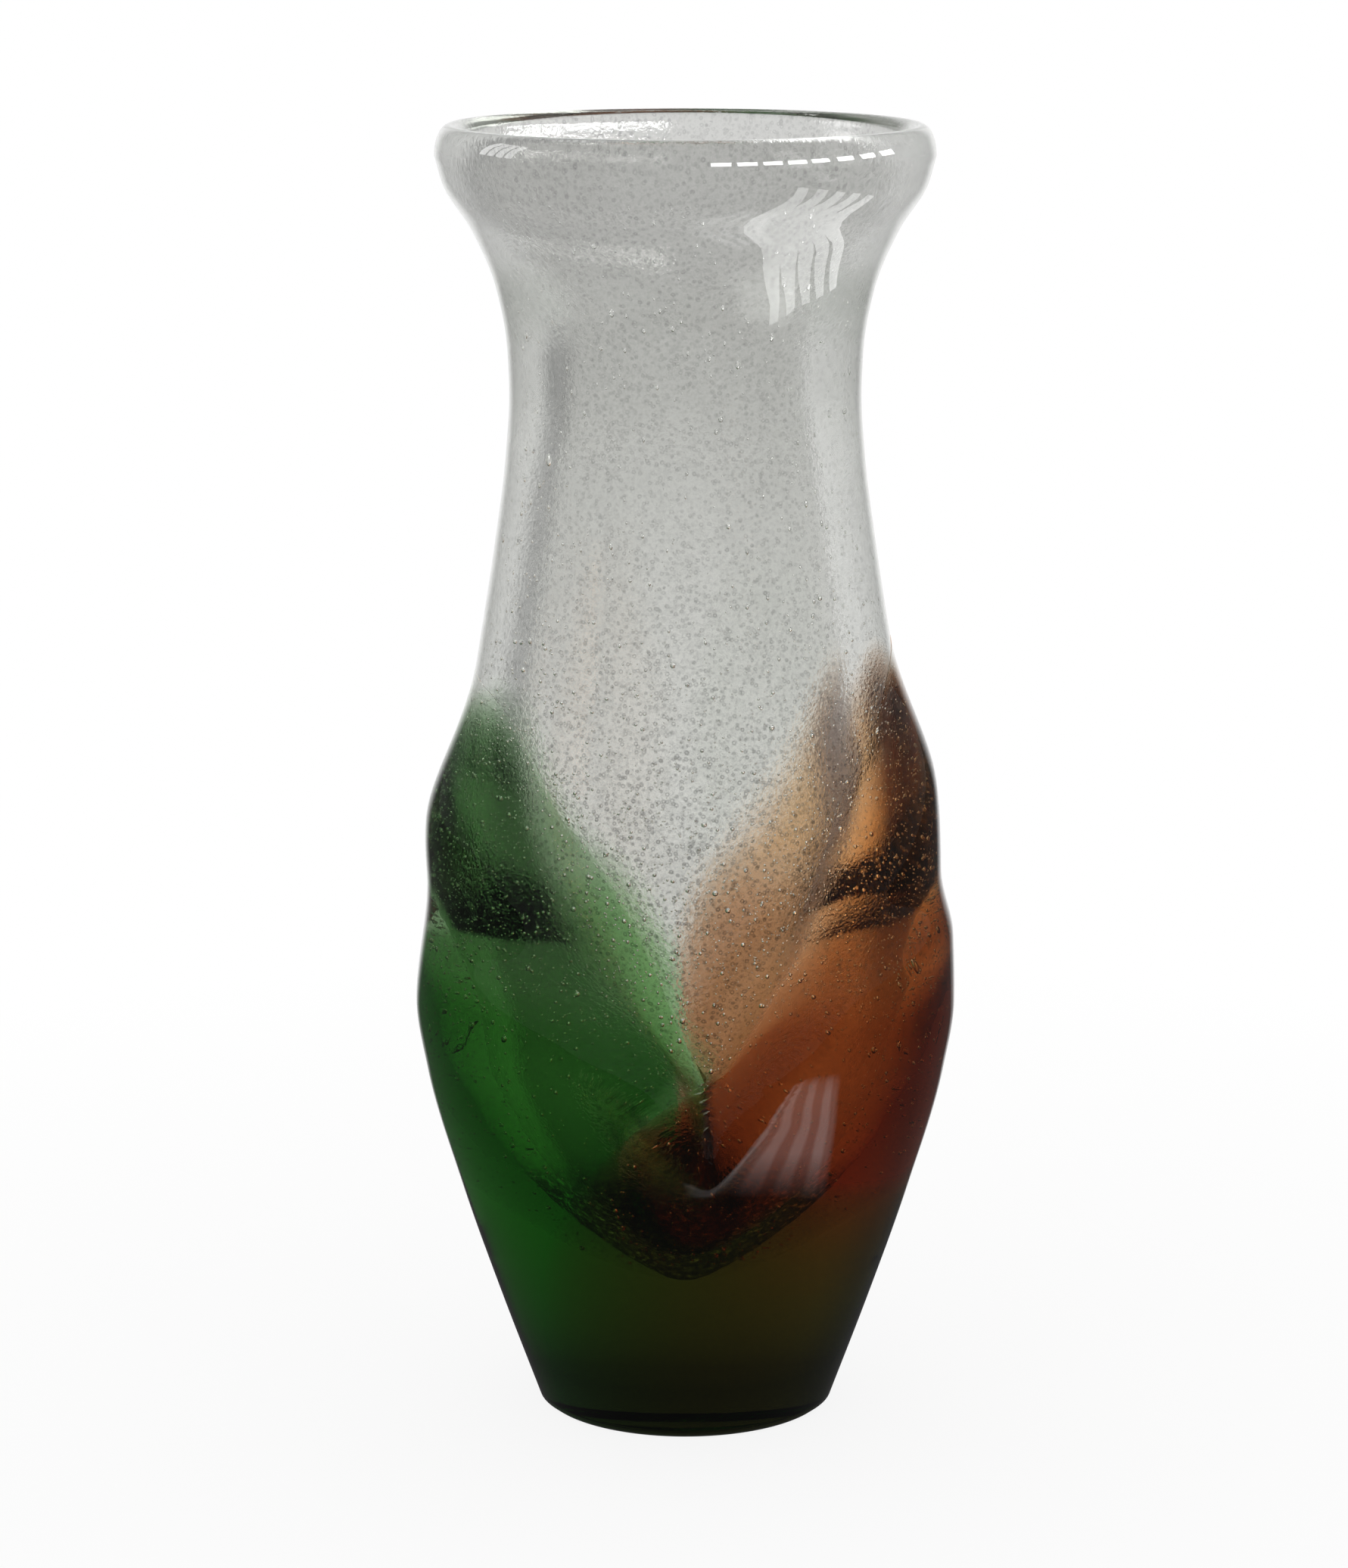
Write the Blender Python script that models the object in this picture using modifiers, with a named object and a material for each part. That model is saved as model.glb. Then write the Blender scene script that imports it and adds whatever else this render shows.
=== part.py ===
"""Art glass vase: a seeded clear vessel cased low down in green and in amber glass.

The vessel is one turned body with a rolled lip, a long neck and a heavy cup.
Each casing is one gather of coloured glass. It has a thin petal that climbs one
side of the vessel, a pressed hollow under the petal and a full bulge below, and
it closes under the vessel as half of the solid base. The two casings meet on a
seam that runs straight down from the cusps and then winds round the axis.
"""
import bisect
import math

import bmesh
import bpy

# Overall sizes, in metres
VASE_HEIGHT = 0.280
BASE_RADIUS = 0.0320
BASE_EDGE = 0.0009
BELLY_RADIUS = 0.0588
BELLY_HEIGHT = 0.0910

# Lip and neck of the vessel
LIP_RADIUS = 0.0530
LIP_DROP = 0.0064
LIP_CREST_RADIUS = 0.0497
MOUTH_RADIUS = 0.0464
MOUTH_DROP = 0.0033
NECK_RADIUS = 0.03755
NECK_HEIGHT = 0.2230

# Cup of the vessel, under the casings
CUP_RADIUS = 0.0519
CUP_HEIGHT = 0.1030
CUP_BOTTOM_HEIGHT = 0.0364

# Space inside the vessel
THROAT_RADIUS = 0.0257
THROAT_HEIGHT = 0.2240
CAVITY_RADIUS = 0.0393
CAVITY_HEIGHT = 0.1190
CAVITY_FLOOR_HEIGHT = 0.0420

# Where the casings start
FRONT_CUSP_HEIGHT = 0.0845
BACK_CUSP_HEIGHT = 0.0880
GREEN_TIP_HEIGHT = 0.1635
AMBER_TIP_HEIGHT = 0.1705
GREEN_CREASE_HEIGHT = 0.1060
AMBER_CREASE_HEIGHT = 0.1105

# Thickness of the casings on the outside of the vessel
PETAL_THICKNESS = 0.0041
PETAL_RISE = 0.0340
RIDGE_DROP = 0.0320
RIDGE_REACH = 0.0130
GREEN_RIDGE = 0.0017
AMBER_RIDGE = 0.0009
HOLLOW_DEPTH = 0.0016
HOLLOW_REACH = 0.0180
HOLLOW_HEIGHT = 0.1270
SHOULDER_RADIUS = 0.0565
SHOULDER_HEIGHT = 0.1250
CUSP_STEP = 0.0170
GREEN_STEP = 0.0200
AMBER_STEP = 0.0120
STEP_RISE_REACH = 0.18
BACK_STEP_SHARE = 1.9
PETAL_EDGE = 0.0005

# Clearances between the pieces
CASING_GAP = 0.00035
SEAM_GAP = 0.0003

# Heights of the lowest slanted row and of the levels round the bottom of the cup
LEVEL_HEIGHT = 0.0620
FOOT_HEIGHT = 0.0100

# Angles, in degrees, seen from above: 0 is the front and 90 the right side
CUSP_ANGLE = 4.5
HALF_TURN = 180.0
HOLLOW_ANGLE = 48.0
HOLLOW_SPREAD = 17.0
BASE_TWIST = -62.0

# Counts
TURN_STEPS = 48
LIP_STEPS = 5
FLARE_STEPS = 9
WAIST_STEPS = 10
CUP_STEPS = 12
MOUTH_STEPS = 8
CAVITY_STEPS = 10
BOWL_STEPS = 11
CASING_COLUMNS = 32
PETAL_ROWS = 10
BULGE_ROWS = 9
CUP_ROWS = 8
FOOT_ROWS = 3
EDGE_ANGLE = math.radians(40.0)

# Outlines as (share of the way down, share of the change in radius)
FLARE_SHARES = (
    (0.0, 1.0), (0.12, 0.89), (0.31, 0.5), (0.56, 0.165), (0.81, 0.023), (1.0, 0.0))
WAIST_SHARES = (
    (0.0, 0.0), (0.11, 0.059), (0.275, 0.24), (0.467, 0.498), (0.692, 0.819),
    (0.858, 0.965), (1.0, 1.0))
MOUTH_SHARES = (
    (0.0, 1.0), (0.127, 0.923), (0.385, 0.556), (0.696, 0.13), (0.848, 0.024),
    (1.0, 0.0))
CAVITY_SHARES = (
    (0.0, 0.0), (0.162, 0.184), (0.5, 0.581), (0.619, 0.713), (0.857, 0.949),
    (1.0, 1.0))
TAPER_SHARES = ((0.0, 1.0), (0.166, 0.918), (0.451, 0.647), (0.7385, 0.32), (1.0, 0.0))

# Round bottoms as (root of the share of the way up, share of the radius)
CUP_SHARES = (
    (0.0, 0.0), (0.22, 0.141), (0.4, 0.274), (0.54, 0.46), (0.69, 0.742),
    (0.81, 0.905), (0.93, 0.985), (1.0, 1.0))
BOWL_SHARES = (
    (0.0, 0.0), (0.161, 0.081), (0.328, 0.242), (0.489, 0.445), (0.579, 0.573),
    (0.672, 0.674), (0.789, 0.776), (0.897, 0.903), (1.0, 1.0))

# Edges and creases as (share of the way from cusp to tip, share of the rise)
GREEN_FRONT_SHARES = (
    (0.0, 0.0), (0.149, 0.34), (0.277, 0.55), (0.441, 0.72), (0.574, 0.86),
    (0.8, 0.97), (1.0, 1.0))
GREEN_BACK_SHARES = (
    (0.0, 0.0), (0.2, 0.33), (0.4, 0.58), (0.6, 0.79), (0.8, 0.94), (1.0, 1.0))
AMBER_FRONT_SHARES = (
    (0.0, 0.0), (0.136, 0.209), (0.295, 0.37), (0.449, 0.61), (0.69, 0.84),
    (0.86, 0.96), (1.0, 1.0))
AMBER_BACK_SHARES = (
    (0.0, 0.0), (0.18, 0.28), (0.37, 0.524), (0.536, 0.72), (0.753, 0.91), (1.0, 1.0))
CREASE_SHARES = (
    (0.0, 0.0), (0.2, 0.34), (0.34, 0.706), (0.5, 0.89), (0.66, 0.96), (1.0, 1.0))

# Turn of the seam as (share of the way down from the cusp, share of the turn)
TWIST_SHARES = ((0.0, 0.0), (0.05, 0.13), (0.2, 0.38), (0.58, 0.78), (1.0, 1.0))

PETAL_CUSP_SHARE = 0.3
PETAL_START_SHARE = 0.167
CASING_GAP_SHARE = 0.167
FIRST_ROW_SHARE = 1.25

VASE_NAME = "art_glass_vase"
SEEDED_COLOR = (0.56, 0.57, 0.56, 1.0)
GREEN_COLOR = (0.05, 0.22, 0.06, 1.0)
AMBER_COLOR = (0.45, 0.12, 0.03, 1.0)


def clear_scene():
    """Remove every object of the starting file."""
    for old in list(bpy.data.objects):
        bpy.data.objects.remove(old, do_unlink=True)


def curve_through(shares):
    """Return a smooth curve through the points that never overshoots them."""
    xs = [point[0] for point in shares]
    ys = [point[1] for point in shares]
    steps = [b - a for a, b in zip(xs, xs[1:])]
    rates = [(d - c) / h for c, d, h in zip(ys, ys[1:], steps)]
    slopes = [rates[0]]
    for before, after, left, right in zip(rates, rates[1:], steps, steps[1:]):
        if before * after <= 0:
            slopes.append(0.0)
            continue
        near = 2 * right + left
        far = right + 2 * left
        slopes.append((near + far) / (near / before + far / after))
    slopes.append(rates[-1])

    def value(x):
        x = min(max(x, xs[0]), xs[-1])
        i = min(max(bisect.bisect_right(xs, x) - 1, 0), len(steps) - 1)
        t = (x - xs[i]) / steps[i]
        rise = ys[i + 1] - ys[i]
        start = slopes[i] * steps[i]
        end = slopes[i + 1] * steps[i]
        bend = start + end - 2 * rise
        return ys[i] + t * (start + t * (3 * rise - 2 * start - end + t * bend))

    return value


FLARE = curve_through(FLARE_SHARES)
WAIST = curve_through(WAIST_SHARES)
CUP = curve_through(CUP_SHARES)
MOUTH = curve_through(MOUTH_SHARES)
CAVITY = curve_through(CAVITY_SHARES)
BOWL = curve_through(BOWL_SHARES)
TAPER = curve_through(TAPER_SHARES)
TWIST = curve_through(TWIST_SHARES)
CREASE = curve_through(CREASE_SHARES)


def smooth_step(t):
    """Ease from 0 to 1 as t goes from 0 to 1."""
    t = min(max(t, 0.0), 1.0)
    return t * t * (3 - 2 * t)


def bump(t):
    """Return a soft bump that is 1 at t of 0 and fades out on both sides."""
    return math.exp(-t * t)


def between(curve, top, bottom, low_radius, high_radius, z):
    """Read a curve of shares between two heights and two radii."""
    share = curve((top - z) / (top - bottom))
    return low_radius + (high_radius - low_radius) * share


def round_bottom(curve, top, bottom, radius, z):
    """Read a curve of shares on a round bottom that closes on the axis."""
    return radius * curve(math.sqrt(max(z - bottom, 0.0) / (top - bottom)))


def vessel_radius(z):
    """Return the outer radius of the vessel at height z, below its lip."""
    lip = VASE_HEIGHT - LIP_DROP
    if z > NECK_HEIGHT:
        return between(FLARE, lip, NECK_HEIGHT, NECK_RADIUS, LIP_RADIUS, z)
    if z > CUP_HEIGHT:
        return between(WAIST, NECK_HEIGHT, CUP_HEIGHT, NECK_RADIUS, CUP_RADIUS, z)
    return round_bottom(CUP, CUP_HEIGHT, CUP_BOTTOM_HEIGHT, CUP_RADIUS, z)


def cavity_radius(z):
    """Return the radius of the space inside the vessel at height z."""
    mouth = VASE_HEIGHT - MOUTH_DROP
    if z > THROAT_HEIGHT:
        return between(MOUTH, mouth, THROAT_HEIGHT, THROAT_RADIUS, MOUTH_RADIUS, z)
    if z > CAVITY_HEIGHT:
        return between(
            CAVITY, THROAT_HEIGHT, CAVITY_HEIGHT, THROAT_RADIUS, CAVITY_RADIUS, z)
    return round_bottom(BOWL, CAVITY_HEIGHT, CAVITY_FLOOR_HEIGHT, CAVITY_RADIUS, z)


def full_radius(z):
    """Return the outer radius of a casing where nothing has pressed it in."""
    if z > BELLY_HEIGHT:
        share = (z - BELLY_HEIGHT) / (SHOULDER_HEIGHT - BELLY_HEIGHT)
        return BELLY_RADIUS - (BELLY_RADIUS - SHOULDER_RADIUS) * share * share
    return between(TAPER, BELLY_HEIGHT, 0.0, BASE_RADIUS, BELLY_RADIUS, z)


def casing_inner_radius(z):
    """Return the radius of the socket that the vessel sits in."""
    if z <= CUP_BOTTOM_HEIGHT - CASING_GAP:
        return 0.0
    radius = vessel_radius(z + CASING_GAP)
    return radius + min(CASING_GAP, radius * CASING_GAP_SHARE)


def seam_twist(z):
    """Return how far the seam has turned at height z, in degrees."""
    share = (FRONT_CUSP_HEIGHT - z) / FRONT_CUSP_HEIGHT
    return BASE_TWIST * TWIST(share)


class Casing:
    """Shape of one gather of coloured glass, on one side of the vessel."""

    def __init__(self, side, tip, crease, ridge, step, front, back):
        self.side = side
        self.tip = tip
        self.crease = crease
        self.ridge = ridge
        self.step = step
        self.front = curve_through(front)
        self.back = curve_through(back)

    def reach(self, share):
        """Return the share of the way from the nearer cusp to the tip."""
        return 1 - abs(2 * share - 1)

    def cusp(self, share):
        """Return the height of the cusp that this column is nearer to."""
        half = smooth_step(share)
        return FRONT_CUSP_HEIGHT + (BACK_CUSP_HEIGHT - FRONT_CUSP_HEIGHT) * half

    def edge_height(self, share):
        """Return the height of the petal's edge on one column."""
        curve = self.front if share < 0.5 else self.back
        cusp = self.cusp(share)
        return cusp + (self.tip - cusp) * curve(self.reach(share))

    def crease_height(self, share):
        """Return the height at which the bulge starts on one column."""
        cusp = self.cusp(share)
        return cusp + (self.crease - cusp) * CREASE(self.reach(share))

    def thickness(self, share, z):
        """Return the thickness of glass outside the vessel."""
        reach = smooth_step(self.reach(share))
        drop = self.edge_height(share) - z
        petal = PETAL_THICKNESS * (PETAL_CUSP_SHARE + (1 - PETAL_CUSP_SHARE) * reach)
        petal *= smooth_step(PETAL_START_SHARE + drop / PETAL_RISE)
        petal += self.ridge * reach * bump((drop - RIDGE_DROP) / RIDGE_REACH)
        turn = HALF_TURN * share
        near = min(turn, HALF_TURN - turn)
        dent = bump((near - HOLLOW_ANGLE) / HOLLOW_SPREAD)
        dent *= bump((z - HOLLOW_HEIGHT) / HOLLOW_REACH)
        petal -= HOLLOW_DEPTH * dent * smooth_step(drop / HOLLOW_REACH)
        step = CUSP_STEP + (self.step - CUSP_STEP) * reach
        step *= 1 + (BACK_STEP_SHARE - 1) * smooth_step(2 * share - 1)
        risen = smooth_step(self.reach(share) / STEP_RISE_REACH)
        top = self.crease_height(share) + step / 2 * risen
        full = full_radius(z) - vessel_radius(z)
        start = smooth_step((top - z) / step)
        whole = petal + (full - petal) * start
        least = CASING_GAP + PETAL_EDGE
        lack = max(0.0, 1 - max(whole, 0.0) / PETAL_THICKNESS)
        return max(whole, 0.0) + least * lack * lack

    def outer_radius(self, share, z):
        """Return the outer radius of the casing."""
        if z <= 0:
            return BASE_RADIUS - BASE_EDGE
        if z < CUP_BOTTOM_HEIGHT:
            return full_radius(z)
        return vessel_radius(z) + self.thickness(share, z)

    def place(self, share, radius, z):
        """Return a point of the casing, clear of the seam by half its gap."""
        start = CUSP_ANGLE + seam_twist(z)
        turn = math.radians(start + self.side * HALF_TURN * share)
        middle = math.radians(start + self.side * HALF_TURN / 2)
        x = radius * math.sin(turn) + SEAM_GAP / 2 * math.sin(middle)
        y = radius * math.cos(turn) + SEAM_GAP / 2 * math.cos(middle)
        return (x, -y, z)

    def heights(self, share):
        """Return the heights of all rows of points on one column."""
        edge = self.edge_height(share)
        crease = self.crease_height(share)
        bottom = CUP_BOTTOM_HEIGHT - CASING_GAP
        rows = [edge + (crease - edge) * i / PETAL_ROWS for i in range(PETAL_ROWS)]
        for i in range(BULGE_ROWS):
            down = (i / BULGE_ROWS) ** FIRST_ROW_SHARE
            rows.append(crease + (LEVEL_HEIGHT - crease) * down)
        for i in range(CUP_ROWS, 0, -1):
            rows.append(bottom + (LEVEL_HEIGHT - bottom) * (i / CUP_ROWS) ** 2)
        for i in range(FOOT_ROWS):
            rows.append(bottom + (FOOT_HEIGHT - bottom) * i / FOOT_ROWS)
        return rows + [FOOT_HEIGHT, BASE_EDGE, 0.0]


def new_object(name, mesh, color, collection):
    """Put a mesh in the scene as a named object with its own material."""
    material = bpy.data.materials.new(name + "_glass")
    material.use_nodes = True
    shader = material.node_tree.nodes["Principled BSDF"]
    shader.inputs["Base Color"].default_value = color
    shader.inputs["Roughness"].default_value = 0.03
    mesh.materials.append(material)
    made = bpy.data.objects.new(name, mesh)
    collection.objects.link(made)
    return made


def stretch(radius_at, top, bottom, steps):
    """Return points down a wall, with the top one left to the stretch above."""
    heights = [top + (bottom - top) * i / steps for i in range(1, steps + 1)]
    return [(radius_at(z), z) for z in heights]


def bottom_stretch(radius_at, top, bottom, steps):
    """Return points down a round bottom, closer together near the axis."""
    heights = [bottom + (top - bottom) * (i / steps) ** 2 for i in range(steps)]
    return [(radius_at(z), z) for z in reversed(heights)]


def vessel_profile():
    """Return the outline of the vessel from its inner floor over the lip."""
    mouth = VASE_HEIGHT - MOUTH_DROP
    lip = VASE_HEIGHT - LIP_DROP
    inside = stretch(cavity_radius, mouth, THROAT_HEIGHT, MOUTH_STEPS)
    inside += stretch(cavity_radius, THROAT_HEIGHT, CAVITY_HEIGHT, CAVITY_STEPS)
    inside += bottom_stretch(
        cavity_radius, CAVITY_HEIGHT, CAVITY_FLOOR_HEIGHT, BOWL_STEPS)
    points = inside[::-1]
    for i in range(LIP_STEPS):
        turn = math.pi / 2 * i / LIP_STEPS
        across = (LIP_CREST_RADIUS - MOUTH_RADIUS) * (1 - math.cos(turn))
        points.append((MOUTH_RADIUS + across, mouth + MOUTH_DROP * math.sin(turn)))
    for i in range(LIP_STEPS + 1):
        turn = math.pi / 2 * i / LIP_STEPS
        across = (LIP_RADIUS - LIP_CREST_RADIUS) * math.sin(turn)
        points.append((LIP_CREST_RADIUS + across, lip + LIP_DROP * math.cos(turn)))
    points += stretch(vessel_radius, lip, NECK_HEIGHT, FLARE_STEPS)
    points += stretch(vessel_radius, NECK_HEIGHT, CUP_HEIGHT, WAIST_STEPS)
    points += bottom_stretch(vessel_radius, CUP_HEIGHT, CUP_BOTTOM_HEIGHT, CUP_STEPS)
    return points


def build_vessel(collection):
    """Turn the vessel's outline round the axis."""
    outline = vessel_profile()
    mesh = bpy.data.meshes.new("seeded_vessel")
    edges = [(i, i + 1) for i in range(len(outline) - 1)]
    mesh.from_pydata([(r, 0.0, z) for r, z in outline], edges, [])
    made = new_object("seeded_vessel", mesh, SEEDED_COLOR, collection)
    turn = made.modifiers.new("turn", "SCREW")
    turn.axis = "Z"
    turn.angle = 2 * math.pi
    turn.steps = TURN_STEPS
    turn.render_steps = TURN_STEPS
    turn.use_merge_vertices = True
    turn.merge_threshold = 0.00005
    turn.use_smooth_shade = True
    return made


def build_casing(name, shape, color, collection):
    """Loft one casing between the rows of its outer and inner faces."""
    shell = bmesh.new()
    known = {}

    def vertex(point):
        key = tuple(round(value / BASE_EDGE, 5) for value in point)
        if key not in known:
            known[key] = shell.verts.new(point)
        return known[key]

    outer = []
    inner = []
    for i in range(CASING_COLUMNS + 1):
        share = i / CASING_COLUMNS
        rows = shape.heights(share)
        outer.append([
            vertex(shape.place(share, shape.outer_radius(share, z), z)) for z in rows])
        inner.append([
            vertex(shape.place(share, casing_inner_radius(z), z)) for z in rows])

    def face(*corners):
        ring = [v for v, after in zip(corners, corners[1:] + corners[:1]) if v != after]
        if len(ring) > 2:
            shell.faces.new(ring)

    last = len(outer[0]) - 1
    for i in range(CASING_COLUMNS):
        for j in range(last):
            face(outer[i][j], outer[i + 1][j], outer[i + 1][j + 1], outer[i][j + 1])
            face(inner[i][j + 1], inner[i + 1][j + 1], inner[i + 1][j], inner[i][j])
        face(inner[i][0], inner[i + 1][0], outer[i + 1][0], outer[i][0])
    for i in (0, CASING_COLUMNS):
        for j in range(last):
            face(outer[i][j], outer[i][j + 1], inner[i][j + 1], inner[i][j])
    shell.faces.new([column[last] for column in outer] + [inner[0][last]])
    bmesh.ops.recalc_face_normals(shell, faces=shell.faces[:])
    mesh = bpy.data.meshes.new(name)
    shell.to_mesh(mesh)
    shell.free()
    made = new_object(name, mesh, color, collection)
    mesh.shade_smooth()
    mesh.set_sharp_from_angle(angle=EDGE_ANGLE)
    return made


def main():
    """Build the vase."""
    clear_scene()
    collection = bpy.data.collections.new(VASE_NAME)
    bpy.context.scene.collection.children.link(collection)
    build_vessel(collection)
    green = Casing(-1, GREEN_TIP_HEIGHT, GREEN_CREASE_HEIGHT, GREEN_RIDGE, GREEN_STEP,
                   GREEN_FRONT_SHARES, GREEN_BACK_SHARES)
    amber = Casing(1, AMBER_TIP_HEIGHT, AMBER_CREASE_HEIGHT, AMBER_RIDGE, AMBER_STEP,
                   AMBER_FRONT_SHARES, AMBER_BACK_SHARES)
    build_casing("green_casing", green, GREEN_COLOR, collection)
    build_casing("amber_casing", amber, AMBER_COLOR, collection)


main()
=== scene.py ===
"""Art glass vase in a plain studio, laid out as a Blender add-on.

Each operator makes one gather of glass, the bubbles in it or the studio. The vase
stands on z = 0 with its axis at the origin, and faces the camera along -Y.
"""
import bisect
import functools
import math
import random

import bmesh
import bpy
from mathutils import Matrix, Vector


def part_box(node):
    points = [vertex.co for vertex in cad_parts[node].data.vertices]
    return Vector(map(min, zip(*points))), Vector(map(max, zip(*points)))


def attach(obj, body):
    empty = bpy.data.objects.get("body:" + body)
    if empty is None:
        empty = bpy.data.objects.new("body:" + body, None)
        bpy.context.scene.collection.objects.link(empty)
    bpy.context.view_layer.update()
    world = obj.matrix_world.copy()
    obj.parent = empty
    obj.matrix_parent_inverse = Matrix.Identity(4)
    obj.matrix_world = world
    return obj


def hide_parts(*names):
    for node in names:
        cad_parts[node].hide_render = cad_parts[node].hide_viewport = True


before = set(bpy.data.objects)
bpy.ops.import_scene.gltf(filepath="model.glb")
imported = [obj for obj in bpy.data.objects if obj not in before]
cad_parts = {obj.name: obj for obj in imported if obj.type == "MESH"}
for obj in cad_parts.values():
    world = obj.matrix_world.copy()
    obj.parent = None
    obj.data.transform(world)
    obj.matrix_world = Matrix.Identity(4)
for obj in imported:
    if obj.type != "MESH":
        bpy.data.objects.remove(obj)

bl_info = {
    "name": "Art glass vase",
    "version": (1, 0, 0),
    "blender": (4, 5, 0),
    "location": "3D View > Sidebar > Vase",
    "description": "Makes a seeded glass vase cased in green and amber glass",
    "category": "Add Mesh",
}

VASE_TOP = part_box("seeded_vessel")[1][2]
MM = 0.001

# Heights and radii of the vessel that the panel doesn't hold, in metres
LIP_DROP = 0.0064
LIP_CREST_RADIUS = 0.0497
MOUTH_RADIUS = 0.0464
MOUTH_DROP = 0.0033
NECK_HEIGHT = 0.2230
CUP_HEIGHT = 0.1030
CUP_BOTTOM = 0.0364
CORE_RADIUS = 0.0385
CORE_HEIGHT = 0.0900
CORE_FLARE = 1.1
SINK_START = 0.0030
SINK_REACH = 0.0300
THROAT_HEIGHT = 0.2240
CAVITY_HEIGHT = 0.1300
CAVITY_FLOOR = 0.0420

# Heights, radii and depths of the casings, in metres
GREEN_TIP = 0.1635
GREEN_CREASE = 0.1060
GREEN_RIDGE = 0.0017
GREEN_STEP = 0.0300
AMBER_TIP = 0.1705
AMBER_CREASE = 0.1135
AMBER_RIDGE = 0.0009
AMBER_STEP = 0.0140
BASE_EDGE = 0.0009
BELLY_HEIGHT = 0.0910
FRONT_CUSP = 0.0845
BACK_CUSP = 0.0880
PETAL_RISE = 0.0340
RIDGE_DROP = 0.0320
RIDGE_REACH = 0.0130
HOLLOW_DEPTH = 0.0008
HOLLOW_REACH = 0.0180
HOLLOW_HEIGHT = 0.1270
SHOULDER_RADIUS = 0.0565
SHOULDER_HEIGHT = 0.1250
CUSP_STEP = 0.0240
LEVEL_HEIGHT = 0.0620
FOOT_HEIGHT = 0.0100
PETAL_EDGE = 0.00006
WELD_GAP = 0.00002

# Shares of the casings' thickness, of the step's height and of the way to the tip
PETAL_CUSP_SHARE = 0.6
PETAL_START_SHARE = 0.05
BACK_STEP_SHARE = 1.9
STEP_RISE_REACH = 0.25

# Angles round the axis, in degrees
CUSP_ANGLE = 4.5
HOLLOW_ANGLE = 48.0
HOLLOW_SPREAD = 17.0
FRONT_TWIST = -62.0
BACK_TWIST = -75.0

# Outlines as (share of the way down, share of the change in radius)
FLARE_SHARES = (
    (0.0, 1.0), (0.12, 0.89), (0.31, 0.5), (0.56, 0.165), (0.81, 0.023), (1.0, 0.0))
WAIST_SHARES = (
    (0.0, 0.0), (0.11, 0.059), (0.275, 0.24), (0.467, 0.498), (0.692, 0.819),
    (0.858, 0.965), (1.0, 1.0))
MOUTH_SHARES = (
    (0.0, 1.0), (0.127, 0.923), (0.385, 0.556), (0.696, 0.13), (0.848, 0.024),
    (1.0, 0.0))
CAVITY_SHARES = (
    (0.0, 0.0), (0.181, 0.184), (0.559, 0.581), (0.692, 0.713), (0.9, 0.94), (1.0, 1.0))
TAPER_SHARES = ((0.0, 1.0), (0.166, 0.918), (0.451, 0.647), (0.7385, 0.32), (1.0, 0.0))

# Round bottoms as (root of the share of the way up, share of the radius)
CORE_SHARES = (
    (0.0, 0.0), (0.178, 0.1), (0.34, 0.235), (0.509, 0.415), (0.669, 0.6),
    (0.765, 0.72), (0.867, 0.83), (1.0, 1.0))
CUP_SHARES = (
    (0.0, 0.0), (0.22, 0.2), (0.4, 0.42), (0.54, 0.64), (0.69, 0.85), (0.81, 0.955),
    (0.93, 0.992), (1.0, 1.0))
BOWL_SHARES = (
    (0.0, 0.0), (0.151, 0.13), (0.307, 0.29), (0.457, 0.476), (0.542, 0.58),
    (0.629, 0.677), (0.738, 0.796), (0.839, 0.9), (0.895, 0.95), (0.948, 0.984),
    (1.0, 1.0))

# Edges and creases as (share of the way from cusp to tip, share of the rise)
GREEN_FRONT_SHARES = (
    (0.0, 0.0), (0.152, 0.375), (0.28, 0.597), (0.46, 0.777), (0.62, 0.92),
    (0.8, 0.98), (1.0, 1.0))
GREEN_BACK_SHARES = (
    (0.0, 0.0), (0.2, 0.33), (0.4, 0.58), (0.6, 0.79), (0.8, 0.94), (1.0, 1.0))
AMBER_FRONT_SHARES = (
    (0.0, 0.0), (0.1, 0.22), (0.234, 0.39), (0.39, 0.64), (0.6, 0.82),
    (0.8, 0.95), (1.0, 1.0))
AMBER_BACK_SHARES = (
    (0.0, 0.0), (0.18, 0.37), (0.37, 0.6), (0.536, 0.76), (0.753, 0.92), (1.0, 1.0))
CREASE_SHARES = (
    (0.0, 0.0), (0.1, 0.2), (0.24, 0.5), (0.37, 0.83), (0.5, 0.93), (0.72, 1.0),
    (1.0, 0.96))

# Turn of the seam as (share of the way down from the cusp, share of the turn)
FRONT_TWIST_SHARES = ((0.0, 0.0), (0.05, 0.13), (0.2, 0.38), (0.58, 0.78), (1.0, 1.0))
BACK_TWIST_SHARES = ((0.0, 0.0), (0.3, 0.05), (0.45, 0.4), (0.7, 0.8), (1.0, 1.0))

# Film of dense colour where a casing meets the vessel, in metres. Towards the
# petal's edge it fades over FILM_FADE at the cusps, and over TIP_FADE from this
# share of the way to the tip on.
FILM_LOW_HEIGHT = 0.0750
FILM_FULL_HEIGHT = 0.1180
FILM_FADE = 0.0450
TIP_FADE = 0.0160
TIP_FADE_SHARE = 0.7
# Power of the fade, and what is left of the amber's film low down
FILM_EASE = 0.75
AMBER_LOW_FILM = 0.25
# Denser side of the amber, in degrees round the axis, and its rise in metres
SIDE_START = 66.0
SIDE_END = 140.0
SIDE_REACH = 25.0
SIDE_RISE = 0.0300
# Grey specks of painted shade under the vessel's rounded bottom, in metres
LOW_SHADE_HEIGHT = 0.0640
LOW_SHADE_REACH = 0.0100
# Real spacing of the seeds, specks and cords in the glass, and depth of its marks,
# in millimetres. The real grain is finer, and is drawn as coarse as it needs to show.
GRAIN_MM = 0.9
SEED_SPACING_MM = 1.3
SPECK_MM = 1.2
CORD_SPACING_MM = 7.0
CORD_SQUASH = 0.18
PIT_DEPTH_MM = 0.25
CORD_DEPTH_MM = 0.6
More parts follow.
